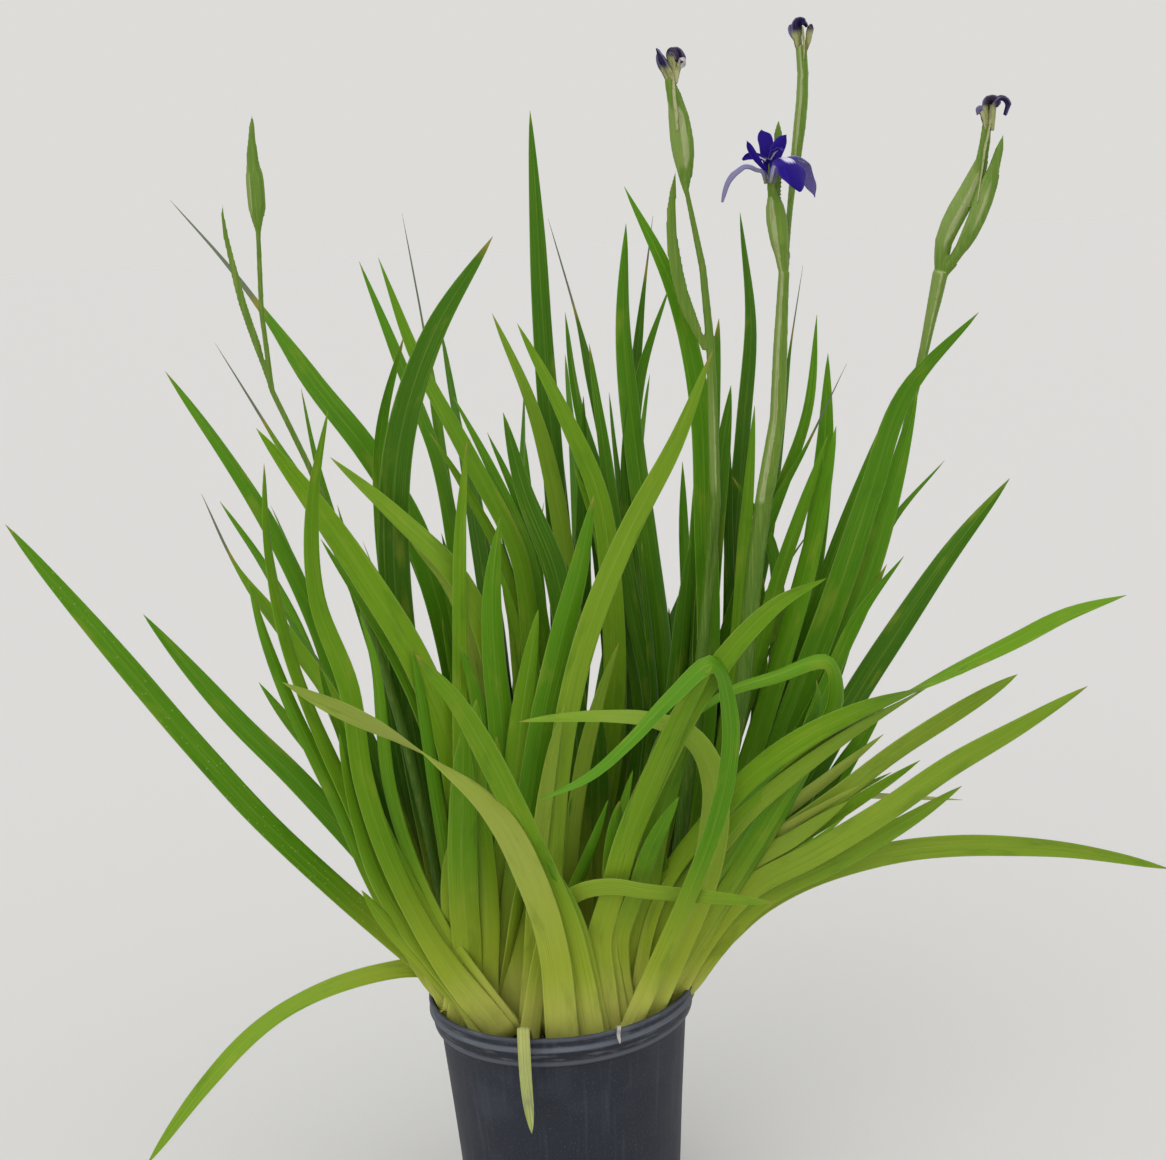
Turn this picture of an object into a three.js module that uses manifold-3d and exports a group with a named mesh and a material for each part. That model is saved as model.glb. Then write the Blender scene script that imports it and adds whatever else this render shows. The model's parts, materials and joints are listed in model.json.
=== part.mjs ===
// A potted Virginia blue flag iris: a nursery pot of soil with fans of sword leaves,
// four flower stalks, one open violet flower and three spent ones.
// Millimetres, +Z up. The origin is the middle of the pot's flat underside.

import * as THREE from 'three';
import Module from 'manifold-3d';
import { mergeVertices } from 'three/addons/utils/BufferGeometryUtils.js';

const wasm = await Module();
wasm.setup();

// Driving dimensions of the pot
const RIM_RADIUS = 114;
const RIM_HEIGHT = 215;
const RIM_BAND = 26;
const WALL = 1.8;
const WALL_RADIUS_TOP = 105;
const WALL_RADIUS_MIDDLE = 101;
const MIDDLE_HEIGHT = 135;
const FOOT_RADIUS = 91;
const FLOOR_THICKNESS = 2.5;
const RIM_WARP = Math.tan(THREE.MathUtils.degToRad(1.6));
const WARP_START = 60;
const POT_SIDES = 24;

// Driving dimensions of the soil
const SOIL_TOP = 190;
const SOIL_GAP = 0.5;
const FIT_GAP = 0.3;
const SHOULDER_RISE = 0.35;
const FOOT_LIMIT = 84;

// Leaves
const LEAF_BASE = SOIL_TOP + FIT_GAP;
const LEAF_BASE_THICK = 5;
const LEAF_MIDDLE_THICK = 2.4;
const LEAF_TIP_THICK = 1;
const LEAF_SEGMENTS = 7;
const BENT_SEGMENTS = 11;
const LEAF_TAPER_POWER = 2.6;
const LEAF_TAPER_ROUND = 0.9;
const LEAF_FOOT_TURN = 4;
const LEAF_FOOT_PART = 0.3;
const LEAF_LEAN_POWER = 1.25;
const FAN_SLOT = 6;
const LAYER_GAP = 1.6;

// Stalks
const STALK_SEGMENTS = 11;
const STALK_SIDES = 8;
const TALL_BRANCH_BACK = 34;
const TOP_SINK = 4;

// The flower
const HEART_FORWARD = 6;
const TUBE_DROP = 4;
const KNOT_DEPTH = 0.4;
const KNOT_LUMPS = 0.14;
const COLUMN_LOW = -6;
const COLUMN_HIGH = 4;
const PETAL_THICK = 1.2;
const PETAL_STEPS = 9;

// How far the feet stay from one another and from the wall, and how a lean shows in the view
const FEET_GAP = 1.2;
const SIDE_GAP = 1;
const LEAN_FOOT_LIMIT = 66;
const LEAN_SWEEP = 40;
const LEAN_SLOPE = 1.6;
const FOOT_LEAN = 0.32;
const FRONT_ROW_DOWN = 995;
const WALL_ROOM = 9;
const LEAN_WALL_ROOM = 20;

// How leaves pass the rim: the room over it, and how far inside it they turn back
const RIM_MARGIN = 8;
const STALK_RIM_MARGIN = 12;
const INSIDE_RIM = 22;
const OUTSIDE_RIM = 30;
const BELOW_RIM = 14;

const DEG = Math.PI / 180;

// The paths of leaves and stalks were drawn by eye over one front view. EYE is where that
// view was taken from; a path point is a place in the view, and its depth is set here.
const EYE = new THREE.Vector3(36, -1500, 875);
const VIEW_PITCH = 11.75 * DEG;
const VIEW_ROLL = -3 * DEG;
const VIEW_FOCAL = 1874;
const VIEW_CENTRE = [583, 580];
const VIEW_MM_PER_PIXEL = 0.857;
const forward = new THREE.Vector3(0, Math.cos(VIEW_PITCH), -Math.sin(VIEW_PITCH));
const levelUp = new THREE.Vector3(0, Math.sin(VIEW_PITCH), Math.cos(VIEW_PITCH));
const levelRight = new THREE.Vector3(1, 0, 0);
const viewRight = levelRight.clone().multiplyScalar(Math.cos(VIEW_ROLL))
  .addScaledVector(levelUp, Math.sin(VIEW_ROLL));
const viewUp = levelRight.clone().multiplyScalar(-Math.sin(VIEW_ROLL))
  .addScaledVector(levelUp, Math.cos(VIEW_ROLL));

function sightLine([across, down]) {
  return forward.clone().multiplyScalar(VIEW_FOCAL)
    .addScaledVector(viewRight, across - VIEW_CENTRE[0])
    .addScaledVector(viewUp, VIEW_CENTRE[1] - down);
}

function atDepth(place, depth) {
  const line = sightLine(place);
  return EYE.clone().addScaledVector(line, (depth - EYE.y) / line.y);
}

function placeInView(point) {
  const line = point.clone().sub(EYE);
  const distance = line.dot(forward);
  return [
    VIEW_CENTRE[0] + VIEW_FOCAL * line.dot(viewRight) / distance,
    VIEW_CENTRE[1] - VIEW_FOCAL * line.dot(viewUp) / distance,
  ];
}

const mix = (a, b, t) => a + (b - a) * t;
const clamp = (value, low, high) => Math.min(high, Math.max(low, value));
const smooth = (low, high, value) => {
  const t = clamp((value - low) / (high - low), 0, 1);
  return t * t * (3 - 2 * t);
};

// Would a twisted four-sided face sink in if it were parted from a to c?
function foldsInward(a, b, c, d) {
  const normal = new THREE.Vector3().crossVectors(b.clone().sub(a), c.clone().sub(a));
  return normal.dot(d.clone().sub(a)) > 0;
}

// A closed body through rings of points, ending in a flat ring or in one point
function skin(rings, tip) {
  const sides = rings[0].length;
  const places = rings.flat();
  const positions = places.flatMap((p) => [p.x, p.y, p.z]);
  const faces = [];
  for (let r = 0; r + 1 < rings.length; r += 1) {
    for (let k = 0; k < sides; k += 1) {
      const a = r * sides + k;
      const b = r * sides + (k + 1) % sides;
      if (foldsInward(places[a], places[b], places[b + sides], places[a + sides])) {
        faces.push(a, b, a + sides, b, b + sides, a + sides);
      } else {
        faces.push(a, b, b + sides, a, b + sides, a + sides);
      }
    }
  }
  for (let k = 1; k + 1 < sides; k += 1) {
    faces.push(0, k + 1, k);
  }
  const last = (rings.length - 1) * sides;
  if (tip) {
    positions.push(tip.x, tip.y, tip.z);
    const point = positions.length / 3 - 1;
    for (let k = 0; k < sides; k += 1) {
      faces.push(last + k, last + (k + 1) % sides, point);
    }
  } else {
    for (let k = 1; k + 1 < sides; k += 1) {
      faces.push(last, last + k, last + k + 1);
    }
  }
  const geometry = new THREE.BufferGeometry();
  geometry.setAttribute('position', new THREE.Float32BufferAttribute(positions, 3));
  geometry.setIndex(faces);
  return geometry;
}

// Solids for cutting and joining
function toSolid(geometry) {
  const bare = geometry.clone();
  bare.deleteAttribute('normal');
  bare.deleteAttribute('uv');
  const merged = mergeVertices(bare, 1e-4);
  return new wasm.Manifold(new wasm.Mesh({
    numProp: 3,
    vertProperties: new Float32Array(merged.attributes.position.array),
    triVerts: new Uint32Array(merged.index.array),
  }));
}

function toGeometry(solid) {
  const mesh = solid.getMesh();
  const geometry = new THREE.BufferGeometry();
  geometry.setAttribute('position', new THREE.BufferAttribute(new Float32Array(mesh.vertProperties), 3));
  geometry.setIndex(Array.from(mesh.triVerts));
  return geometry;
}

function joined(geometries) {
  const solids = geometries.map(toSolid);
  return toGeometry(solids.reduce((whole, next) => whole.add(next)));
}

// Materials
const green = (hex) => new THREE.MeshStandardMaterial({ color: hex, roughness: 0.5, metalness: 0 });
const LEAF_GREENS = [0x6f9a1e, 0x88a83c, 0x5f8a3a, 0xa3b352, 0x7d9f2c].map(green);
const STALK_GREEN = green(0x93a952);
const POT_PLASTIC = new THREE.MeshStandardMaterial({ color: 0x3a414d, roughness: 0.6, metalness: 0 });
const SOIL_BROWN = new THREE.MeshStandardMaterial({ color: 0x3b2d20, roughness: 0.95, metalness: 0 });
const PETAL_VIOLET = new THREE.MeshStandardMaterial({ color: 0x4a2aa8, roughness: 0.55, metalness: 0 });
const SPENT_GREY = new THREE.MeshStandardMaterial({ color: 0x8a8296, roughness: 0.8, metalness: 0 });

const potted = new THREE.Group();

function addPiece(name, geometry, material) {
  const mesh = new THREE.Mesh(geometry, material);
  mesh.name = name;
  potted.add(mesh);
  return mesh;
}

// The warm plastic has let the rim drop to the left and rise to the right
function warped(geometry) {
  const place = geometry.attributes.position;
  for (let i = 0; i < place.count; i += 1) {
    const rise = smooth(WARP_START, SOIL_TOP, place.getZ(i));
    place.setZ(i, place.getZ(i) + place.getX(i) * RIM_WARP * rise);
  }
  return geometry;
}

const rimTopAt = (x) => RIM_HEIGHT + x * RIM_WARP;

function latheUp(profile) {
  const points = profile.map(([radius, height]) => new THREE.Vector2(radius, height));
  const geometry = new THREE.LatheGeometry(points, POT_SIDES);
  geometry.rotateX(Math.PI / 2);
  geometry.deleteAttribute('normal');
  geometry.deleteAttribute('uv');
  return mergeVertices(geometry, 1e-3);
}

// Nursery pot: tapered wall and a rim of two bands with a ridge between them
function makePot() {
  const bandFoot = RIM_HEIGHT - RIM_BAND;
  const ridge = RIM_HEIGHT - RIM_BAND * 0.45;
  const profile = [
    [0, 0],
    [FOOT_RADIUS - 3, 0],
    [FOOT_RADIUS, 3],
    [WALL_RADIUS_MIDDLE, MIDDLE_HEIGHT],
    [WALL_RADIUS_TOP, bandFoot - 3],
    [WALL_RADIUS_TOP + 3.5, bandFoot],
    [RIM_RADIUS - 4, bandFoot + 1],
    [RIM_RADIUS - 3, ridge - 2],
    [RIM_RADIUS, ridge],
    [RIM_RADIUS - 2, ridge + 2],
    [RIM_RADIUS - 1.5, RIM_HEIGHT - 4],
    [RIM_RADIUS, RIM_HEIGHT - 2.5],
    [RIM_RADIUS - 1, RIM_HEIGHT],
    [RIM_RADIUS - 4, RIM_HEIGHT],
    [RIM_RADIUS - 5.5, bandFoot + 4],
    [WALL_RADIUS_TOP - WALL, bandFoot - 4],
    [WALL_RADIUS_MIDDLE - WALL, MIDDLE_HEIGHT],
    [FOOT_RADIUS - WALL, FLOOR_THICKNESS],
    [0, FLOOR_THICKNESS],
  ];
  return warped(latheUp(profile));
}

function makeSoil() {
  const profile = [
    [0, FLOOR_THICKNESS + SOIL_GAP],
    [FOOT_RADIUS - WALL - SOIL_GAP * 2, FLOOR_THICKNESS + SOIL_GAP],
    [WALL_RADIUS_MIDDLE - WALL - SOIL_GAP * 2, MIDDLE_HEIGHT],
    [WALL_RADIUS_TOP - WALL - SOIL_GAP * 3, RIM_HEIGHT - RIM_BAND - 4],
    [WALL_RADIUS_TOP - WALL - SOIL_GAP * 4, SOIL_TOP - 5],
    [FOOT_LIMIT + 8, SOIL_TOP],
    [0, SOIL_TOP],
  ];
  const geometry = latheUp(profile);
  const place = geometry.attributes.position;
  for (let i = 0; i < place.count; i += 1) {
    const height = place.getZ(i);
    const rise = height < SOIL_TOP - 6 ? smooth(WARP_START, SOIL_TOP, height) : SHOULDER_RISE;
    const follows = height < SOIL_TOP - 0.1 ? rise : 0;
    place.setZ(i, height + place.getX(i) * RIM_WARP * follows);
  }
  return geometry;
}

addPiece('pot', makePot(), POT_PLASTIC);
addPiece('soil', makeSoil(), SOIL_BROWN);

// Each leaf: the node it belongs to, its width, the depth of its tip behind the pot's middle,
// how far its face turns from the viewer at foot and tip, and its path in the view
const leaves = [];

function leaf(node, { wide, tipDepth, turn, segments, depths, layer }, ...path) {
  leaves.push({
    node,
    wide,
    tipDepth,
    turn,
    segments: segments ?? LEAF_SEGMENTS,
    depths,
    layer: layer ?? tipDepth,
    path,
  });
}

// A leaf that leaves the pot over its rim has its path in real places
function leafInSpace(node, options, ...points) {
  const path = points.map(([x, y, z]) => placeInView(new THREE.Vector3(x, y, z)));
  const depths = points.map((point) => point[1]);
  leaf(node, { ...options, tipDepth: depths.at(-1), depths }, ...path);
}

leaf('leaf_far_left', { wide: 20, tipDepth: -60, turn: [10, 20] },
  [425, 972], [394, 938], [258, 815], [123, 662], [5, 524]);
leaf('leaf_left_long', { wide: 20, tipDepth: -20, turn: [-10, -20] },
  [428, 960], [385, 877], [308, 791], [222, 705], [143, 614]);
leafInSpace('leaf_left_droop', { wide: 18, turn: [35, 25], segments: 15 },
  [-80, 6, LEAF_BASE], [-92, 4, 222], [-118, 0, 233], [-176, -8, 229], [-226, -14, 212], [-266, -20, 187],
  [-312, -26, 142], [-362, -30, 80]);
leaf('leaf_pale_front', { wide: 24, tipDepth: -250, turn: [10, 150], segments: BENT_SEGMENTS },
  [575, 1019], [552, 941], [533, 884], [517, 847], [492, 809], [446, 770], [392, 735], [329, 704],
  [282, 682]);
leaf('leaf_front_green', { wide: 20, tipDepth: -230, turn: [-15, 20] },
  [592, 1011], [572, 937], [544, 870], [521, 822], [492, 764], [463, 712], [415, 654]);
leaf('fan_left_front', { wide: 20, tipDepth: -120, turn: [20, 30] },
  [443, 1002], [402, 917], [377, 870], [358, 812], [339, 733]);
leaf('fan_left_front', { wide: 18, tipDepth: -140, turn: [25, 35] },
  [455, 1015], [415, 913], [377, 828], [356, 745], [345, 668], [316, 595], [312, 506], [319, 443],
  [328, 410]);
leaf('fan_left_outer', { wide: 16, tipDepth: -100, turn: [40, 50] },
  [445, 1002], [395, 905], [347, 792], [299, 680], [271, 567], [264, 463]);
leaf('fan_left_outer', { wide: 16, tipDepth: -60, turn: [-20, -45] },
  [448, 1002], [385, 870], [334, 702], [278, 623], [217, 537], [201, 493]);
leaf('fan_left_far', { wide: 17, tipDepth: 60, turn: [10, 20] },
  [415, 900], [350, 720], [302, 586], [257, 505], [218, 444], [165, 371]);
leaf('fan_left_far', { wide: 14, tipDepth: 20, turn: [35, 45] },
  [440, 900], [400, 700], [330, 530], [275, 439], [215, 343]);
leaf('fan_left_far', { wide: 12, tipDepth: 60, turn: [35, 45] },
  [420, 800], [345, 560], [313, 450], [301, 388]);
leaf('fan_left_diagonal', { wide: 24, tipDepth: -100, turn: [10, -10] },
  [455, 960], [462, 830], [447, 735], [405, 640], [345, 548], [290, 470], [256, 428]);
leaf('fan_left_diagonal', { wide: 20, tipDepth: -60, turn: [20, 10] },
  [505, 930], [500, 740], [480, 612], [432, 550], [396, 515], [362, 481], [330, 457]);
leaf('leaf_left_arching', { wide: 24, tipDepth: 120, turn: [15, 40], segments: BENT_SEGMENTS },
  [480, 930], [460, 700], [425, 560], [385, 475], [333, 411], [280, 335], [232, 271], [170, 200]);
leaf('leaf_left_dark', { wide: 26, tipDepth: -60, turn: [10, -15] },
  [450, 940], [415, 740], [394, 560], [396, 470], [412, 385], [447, 308], [493, 236]);
leaf('fan_left_back', { wide: 18, tipDepth: 80, turn: [20, 30] },
  [440, 900], [398, 640], [380, 470], [385, 400], [404, 335]);
leaf('fan_left_back', { wide: 17, tipDepth: 100, turn: [30, 35] },
  [480, 900], [465, 640], [440, 470], [405, 375], [373, 298], [359, 261]);
leaf('fan_left_back', { wide: 13, tipDepth: 140, turn: [40, 50] },
  [470, 880], [455, 560], [430, 370], [417, 291], [402, 213]);
leaf('leaf_long_crossing', { wide: 17, tipDepth: 40, turn: [20, 30] },
  [520, 930], [530, 700], [528, 580], [505, 530], [478, 470], [448, 428], [428, 385], [407, 333],
  [378, 257]);
leaf('fan_centre_left', { wide: 14, tipDepth: 20, turn: [20, 30] },
  [558, 930], [550, 700], [528, 555], [502, 495], [474, 430], [453, 396]);
leaf('fan_centre_left', { wide: 14, tipDepth: 60, turn: [35, 40] },
  [553, 930], [546, 650], [515, 490], [500, 452], [487, 432]);
leaf('fan_centre_left', { wide: 13, tipDepth: 40, turn: [40, 40] },
  [545, 900], [545, 650], [530, 510], [523, 470], [525, 440]);
leaf('leaf_centre_left', { wide: 22, tipDepth: 0, turn: [15, 10] },
  [580, 930], [572, 680], [555, 570], [530, 508], [510, 443], [503, 412]);
leaf('leaf_centre_tall', { wide: 20, tipDepth: 100, turn: [15, 20] },
  [560, 930], [562, 700], [556, 500], [545, 360], [537, 225], [530, 110]);
leaf('fan_centre_pale', { wide: 18, tipDepth: 60, turn: [20, 25] },
  [570, 930], [575, 700], [560, 520], [540, 430], [518, 370], [492, 313]);
leaf('fan_centre_pale', { wide: 20, tipDepth: 20, turn: [15, 20] },
  [610, 930], [612, 720], [606, 540], [590, 465], [565, 415], [538, 375], [517, 323]);
leaf('fan_centre_back', { wide: 15, tipDepth: 120, turn: [30, 35] },
  [625, 930], [628, 700], [612, 540], [590, 440], [574, 390], [565, 312]);
leaf('fan_centre_back', { wide: 15, tipDepth: 160, turn: [45, 50] },
  [640, 930], [640, 700], [615, 520], [598, 408], [580, 330], [548, 218]);
leaf('fan_centre', { wide: 15, tipDepth: 60, turn: [30, 35] },
  [650, 930], [650, 720], [620, 560], [604, 450], [594, 380], [589, 343]);
leaf('fan_centre', { wide: 12, tipDepth: 80, turn: [40, 45] },
  [640, 900], [640, 650], [622, 520], [614, 440], [609, 392]);
leaf('fan_centre', { wide: 20, tipDepth: 60, turn: [20, 25] },
  [660, 930], [665, 720], [650, 560], [634, 440], [624, 340], [622, 275], [626, 223]);
leaf('fan_centre_right', { wide: 14, tipDepth: 110, turn: [35, 40] },
  [640, 930], [630, 640], [630, 430], [636, 346], [645, 295], [653, 215]);
leaf('fan_centre_right', { wide: 16, tipDepth: 90, turn: [30, 35] },
  [655, 930], [640, 700], [632, 480], [640, 380], [655, 325], [670, 285]);
leaf('leaf_centre_right', { wide: 20, tipDepth: 0, turn: [15, 20] },
  [690, 930], [705, 720], [705, 520], [697, 380], [680, 308], [650, 238], [624, 186]);
leaf('leaf_light_crossing', { wide: 19, tipDepth: -120, turn: [15, 15] },
  [540, 930], [560, 760], [584, 645], [620, 550], [664, 466], [695, 400], [713, 350]);
leaf('fan_right_broad', { wide: 23, tipDepth: 30, turn: [10, 15] },
  [680, 930], [690, 720], [700, 560], [708, 450], [715, 370], [719, 318]);
leaf('fan_right_broad', { wide: 22, tipDepth: 10, turn: [15, 20] },
  [700, 930], [700, 760], [705, 620], [716, 500], [727, 425], [731, 385]);
leaf('fan_right_tall', { wide: 17, tipDepth: 50, turn: [30, 35] },
  [715, 930], [722, 700], [736, 500], [748, 380], [750, 280], [740, 212]);
leaf('fan_right_tall', { wide: 10, tipDepth: 80, turn: [30, 35] },
  [740, 800], [765, 560], [783, 400], [795, 320], [803, 265]);
leaf('fan_right_tall', { wide: 16, tipDepth: -30, turn: [15, 40] },
  [730, 930], [765, 720], [778, 610], [771, 545], [757, 512], [732, 476]);
leaf('fan_right_mid', { wide: 14, tipDepth: 40, turn: [25, 30] },
  [715, 700], [745, 578], [781, 488], [799, 443], [812, 385], [817, 314]);
leaf('fan_right_mid', { wide: 22, tipDepth: 60, turn: [10, 15] },
  [760, 930], [780, 760], [800, 620], [818, 520], [826, 420], [828, 353]);
leaf('fan_right_mid', { wide: 15, tipDepth: -20, turn: [15, 20] },
  [715, 930], [740, 720], [772, 600], [790, 550], [808, 490], [828, 435]);
leaf('fan_right_mid', { wide: 10, tipDepth: 20, turn: [30, 35] },
  [720, 900], [745, 640], [765, 525], [793, 468], [823, 419], [847, 363]);
leaf('fan_right_lean', { wide: 23, tipDepth: -30, turn: [10, 25] },
  [735, 930], [775, 760], [820, 630], [855, 555], [873, 480], [888, 425], [931, 358], [979, 312]);
leaf('fan_right_lean', { wide: 24, tipDepth: 0, turn: [15, 15] },
  [725, 930], [775, 790], [833, 657], [865, 580], [888, 510], [903, 440], [918, 390]);
leaf('fan_right_lean', { wide: 12, tipDepth: 20, turn: [30, 35] },
  [760, 900], [830, 690], [870, 570], [897, 513], [922, 485], [945, 460]);
leaf('fan_right_lean', { wide: 15, tipDepth: -50, turn: [20, 25] },
  [740, 930], [785, 780], [825, 690], [853, 625], [880, 587], [904, 556]);
leaf('leaf_right_long', { wide: 22, tipDepth: -20, turn: [10, 15] },
  [700, 970], [745, 890], [787, 820], [843, 717], [900, 627], [960, 540], [1010, 478]);
leaf('leaf_right_arch_high', { wide: 21, tipDepth: -160, turn: [10, 170], segments: BENT_SEGMENTS },
  [645, 1020], [652, 945], [672, 890], [704, 850], [733, 812], [786, 765], [862, 715], [920, 687],
  [1000, 648], [1070, 613], [1127, 595]);
leaf('fan_right_low', { wide: 16, tipDepth: -80, turn: [15, 30] },
  [662, 960], [733, 874], [807, 820], [873, 767], [930, 730], [985, 693], [1018, 674]);
leaf('fan_right_low', { wide: 10, tipDepth: -50, turn: [20, 30] },
  [710, 940], [790, 840], [840, 800], [870, 783], [892, 772]);
leaf('fan_right_low', { wide: 20, tipDepth: -120, turn: [10, 20] },
  [690, 960], [738, 898], [800, 862], [860, 828], [933, 777], [1010, 732], [1088, 686]);
leaf('fan_right_low', { wide: 10, tipDepth: -100, turn: [20, 30] },
  [700, 950], [756, 882], [810, 844], [845, 817]);
leaf('leaf_right_low_arch', { wide: 21, tipDepth: -60, turn: [20, 40], segments: BENT_SEGMENTS },
  [700, 975], [735, 925], [775, 893], [850, 862], [920, 848], [1000, 845], [1080, 851], [1170, 869]);
leaf('leaf_right_dry', { wide: 7, tipDepth: 40, turn: [20, 20], segments: BENT_SEGMENTS },
  [700, 940], [735, 870], [775, 810], [810, 796], [880, 796], [963, 800]);
leaf('leaf_front_curl', { wide: 25, tipDepth: -170, turn: [20, 65], segments: BENT_SEGMENTS },
  [668, 980], [700, 890], [714, 825], [712, 775], [690, 738], [650, 721], [600, 717], [518, 722]);
leaf('leaf_front_bent', { wide: 15, tipDepth: -220, turn: [20, 40], segments: BENT_SEGMENTS },
  [690, 930], [722, 800], [728, 700], [712, 664], [680, 690], [637, 735], [585, 780], [536, 802]);
leaf('leaf_front_twisting', { wide: 21, tipDepth: -200, turn: [20, 20], segments: BENT_SEGMENTS },
  [608, 1026], [600, 960], [600, 930], [612, 895], [630, 830], [660, 765], [685, 715], [727, 655],
  [775, 605], [827, 578]);
leaf('leaf_right_bent', { wide: 15, tipDepth: -120, turn: [25, 35], segments: BENT_SEGMENTS },
  [735, 930], [800, 770], [842, 682], [836, 662], [795, 672], [745, 685], [700, 708], [683, 726]);
leaf('leaf_front_low', { wide: 15, tipDepth: -220, turn: [30, 25], segments: BENT_SEGMENTS },
  [530, 1000], [545, 940], [562, 903], [600, 887], [660, 893], [775, 903]);
leafInSpace('leaf_front_hanging', { wide: 10, turn: [0, 0], segments: BENT_SEGMENTS, layer: -400 },
  [-30, -84, LEAF_BASE], [-30, -94, 213], [-30, -111, 225], [-30, -122, 216], [-30, -122, 180],
  [-28, -121, 138]);
leaf('fan_front_inner', { wide: 10, tipDepth: -120, turn: [20, 30] },
  [515, 1030], [546, 960], [568, 900], [590, 850], [608, 800]);
leaf('fan_front_inner', { wide: 22, tipDepth: -60, turn: [8, 15] },
  [495, 1022], [498, 880], [503, 760], [493, 640], [493, 570], [500, 517]);
leaf('fan_front_inner', { wide: 22, tipDepth: -100, turn: [8, 15] },
  [505, 1024], [512, 920], [530, 800], [545, 710], [566, 620], [581, 560], [594, 495]);
leaf('fan_front_left', { wide: 25, tipDepth: -130, turn: [5, 10] },
  [474, 1020], [463, 880], [463, 812], [463, 728]);
leaf('fan_front_left', { wide: 14, tipDepth: -60, turn: [20, 25] },
  [470, 1000], [462, 800], [460, 640], [459, 560], [462, 500], [467, 440]);
leaf('fan_front_left', { wide: 23, tipDepth: -120, turn: [5, 10] },
  [489, 1023], [484, 880], [476, 812], [476, 699]);
leaf('fan_front_right', { wide: 22, tipDepth: -120, turn: [10, 20] },
  [622, 1026], [627, 940], [634, 860], [652, 790], [672, 735], [705, 680], [735, 640]);
leaf('fan_front_right', { wide: 23, tipDepth: -150, turn: [10, 20] },
  [632, 1026], [640, 930], [650, 860], [665, 800], [690, 740]);

// Two fans at the back fill the clump behind those that the front view shows. A leaf there
// has gone a third of the way outward at its bend, but over half of the way up.
const BEND_OUT = 0.36;
const BEND_UP = 0.56;
const BACK_WIDTH = 20;
const BACK_TURN = [15, 52];
const BACK_TURN_STEP = 8;

function backFan(node, foot, tips) {
  tips.forEach(([across, height, depth], k) => {
    const tip = placeInView(new THREE.Vector3(across, depth, height));
    const low = placeInView(new THREE.Vector3(foot[0], foot[1], LEAF_BASE));
    const bend = placeInView(new THREE.Vector3(
      mix(foot[0], across, BEND_OUT),
      mix(foot[1], depth, BEND_OUT),
      mix(LEAF_BASE, height, BEND_UP),
    ));
    const turn = [BACK_TURN[0], BACK_TURN[1] + BACK_TURN_STEP * k];
    leaf(node, { wide: BACK_WIDTH - k, tipDepth: depth, turn }, low, bend, tip);
  });
}

backFan('fan_back_left', [-30, 62], [[-150, 640, 210], [-85, 760, 260], [-10, 700, 300], [55, 640, 250]]);
backFan('fan_back_right', [34, 60], [[30, 720, 330], [110, 700, 290], [185, 620, 240], [245, 560, 180]]);

// Flower stalks, laid among the leaves in the same way
function stalk(node, { widths, tipDepth }, ...path) {
  leaves.push({
    node,
    wide: Math.max(...widths),
    widths,
    tipDepth,
    layer: tipDepth,
    turn: [0, 0],
    segments: STALK_SEGMENTS,
    path,
    isStalk: true,
  });
}

stalk('stem_left_bud', { widths: [11, 10, 9, 8, 6, 5, 4.5, 4], tipDepth: -70 },
  [452, 940], [400, 720], [346, 560], [316, 474], [292, 434], [272, 396], [263, 336], [260, 276],
  [258, 228]);
stalk('stem_middle', { widths: [13, 12, 12, 11, 10, 9, 7, 4], tipDepth: -20 },
  [668, 930], [697, 700], [714, 520], [716, 470], [712, 400], [710, 336], [706, 285], [698, 244],
  [686, 188]);
stalk('stem_flower', { widths: [14, 13, 14, 15, 15, 12, 9], tipDepth: -40 },
  [725, 930], [738, 720], [755, 560], [770, 460], [779, 400], [780, 341], [781, 293], [784, 272]);
stalk('stem_right', { widths: [12, 11, 10, 9, 7, 6, 7, 12], tipDepth: 10 },
  [688, 925], [784, 760], [850, 640], [888, 500], [908, 420], [920, 361], [929, 331], [932, 315],
  [940, 272]);

// One foot on the soil for each fan, its leaves side by side in it
const fans = new Map();
leaves.forEach((one) => {
  if (!fans.has(one.node)) {
    fans.set(one.node, { members: [] });
  }
  fans.get(one.node).members.push(one);
});

fans.forEach((fan) => {
  const widest = Math.max(...fan.members.map((one) => one.wide));
  fan.halfWide = widest / 2 + FAN_SLOT * (fan.members.length - 1) / 2 + SIDE_GAP;
  const thick = fan.members[0].isStalk ? fan.members[0].widths[0] : LEAF_BASE_THICK;
  fan.halfThick = thick / 2 + FEET_GAP;
  fan.foot = footOf(fan);
  const deepInside = Math.hypot(fan.foot.x, fan.foot.y) < LEAN_FOOT_LIMIT + 1;
  fan.limit = deepInside ? LEAN_FOOT_LIMIT + LEAN_WALL_ROOM : FOOT_LIMIT + WALL_ROOM;
  const sweep = deepInside ? LEAN_SWEEP : 0;
  fan.left = fan.halfWide + (fan.foot.x < 0 ? sweep : 0);
  fan.right = fan.halfWide + (fan.foot.x > 0 ? sweep : 0);
  fan.lean = fan.members.reduce((sum, one) => sum + one.layer, 0) / fan.members.length;
});

// Fans keep one order from front to back all the way up, and so do the leaves of a fan
const DEPTH_MARK = 1e-4;
const inOrder = [...fans.values()].sort((a, b) => a.lean - b.lean);
inOrder.forEach((fan, rank) => fan.members.forEach((one) => {
  one.order = rank + one.tipDepth * DEPTH_MARK;
}));

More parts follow.
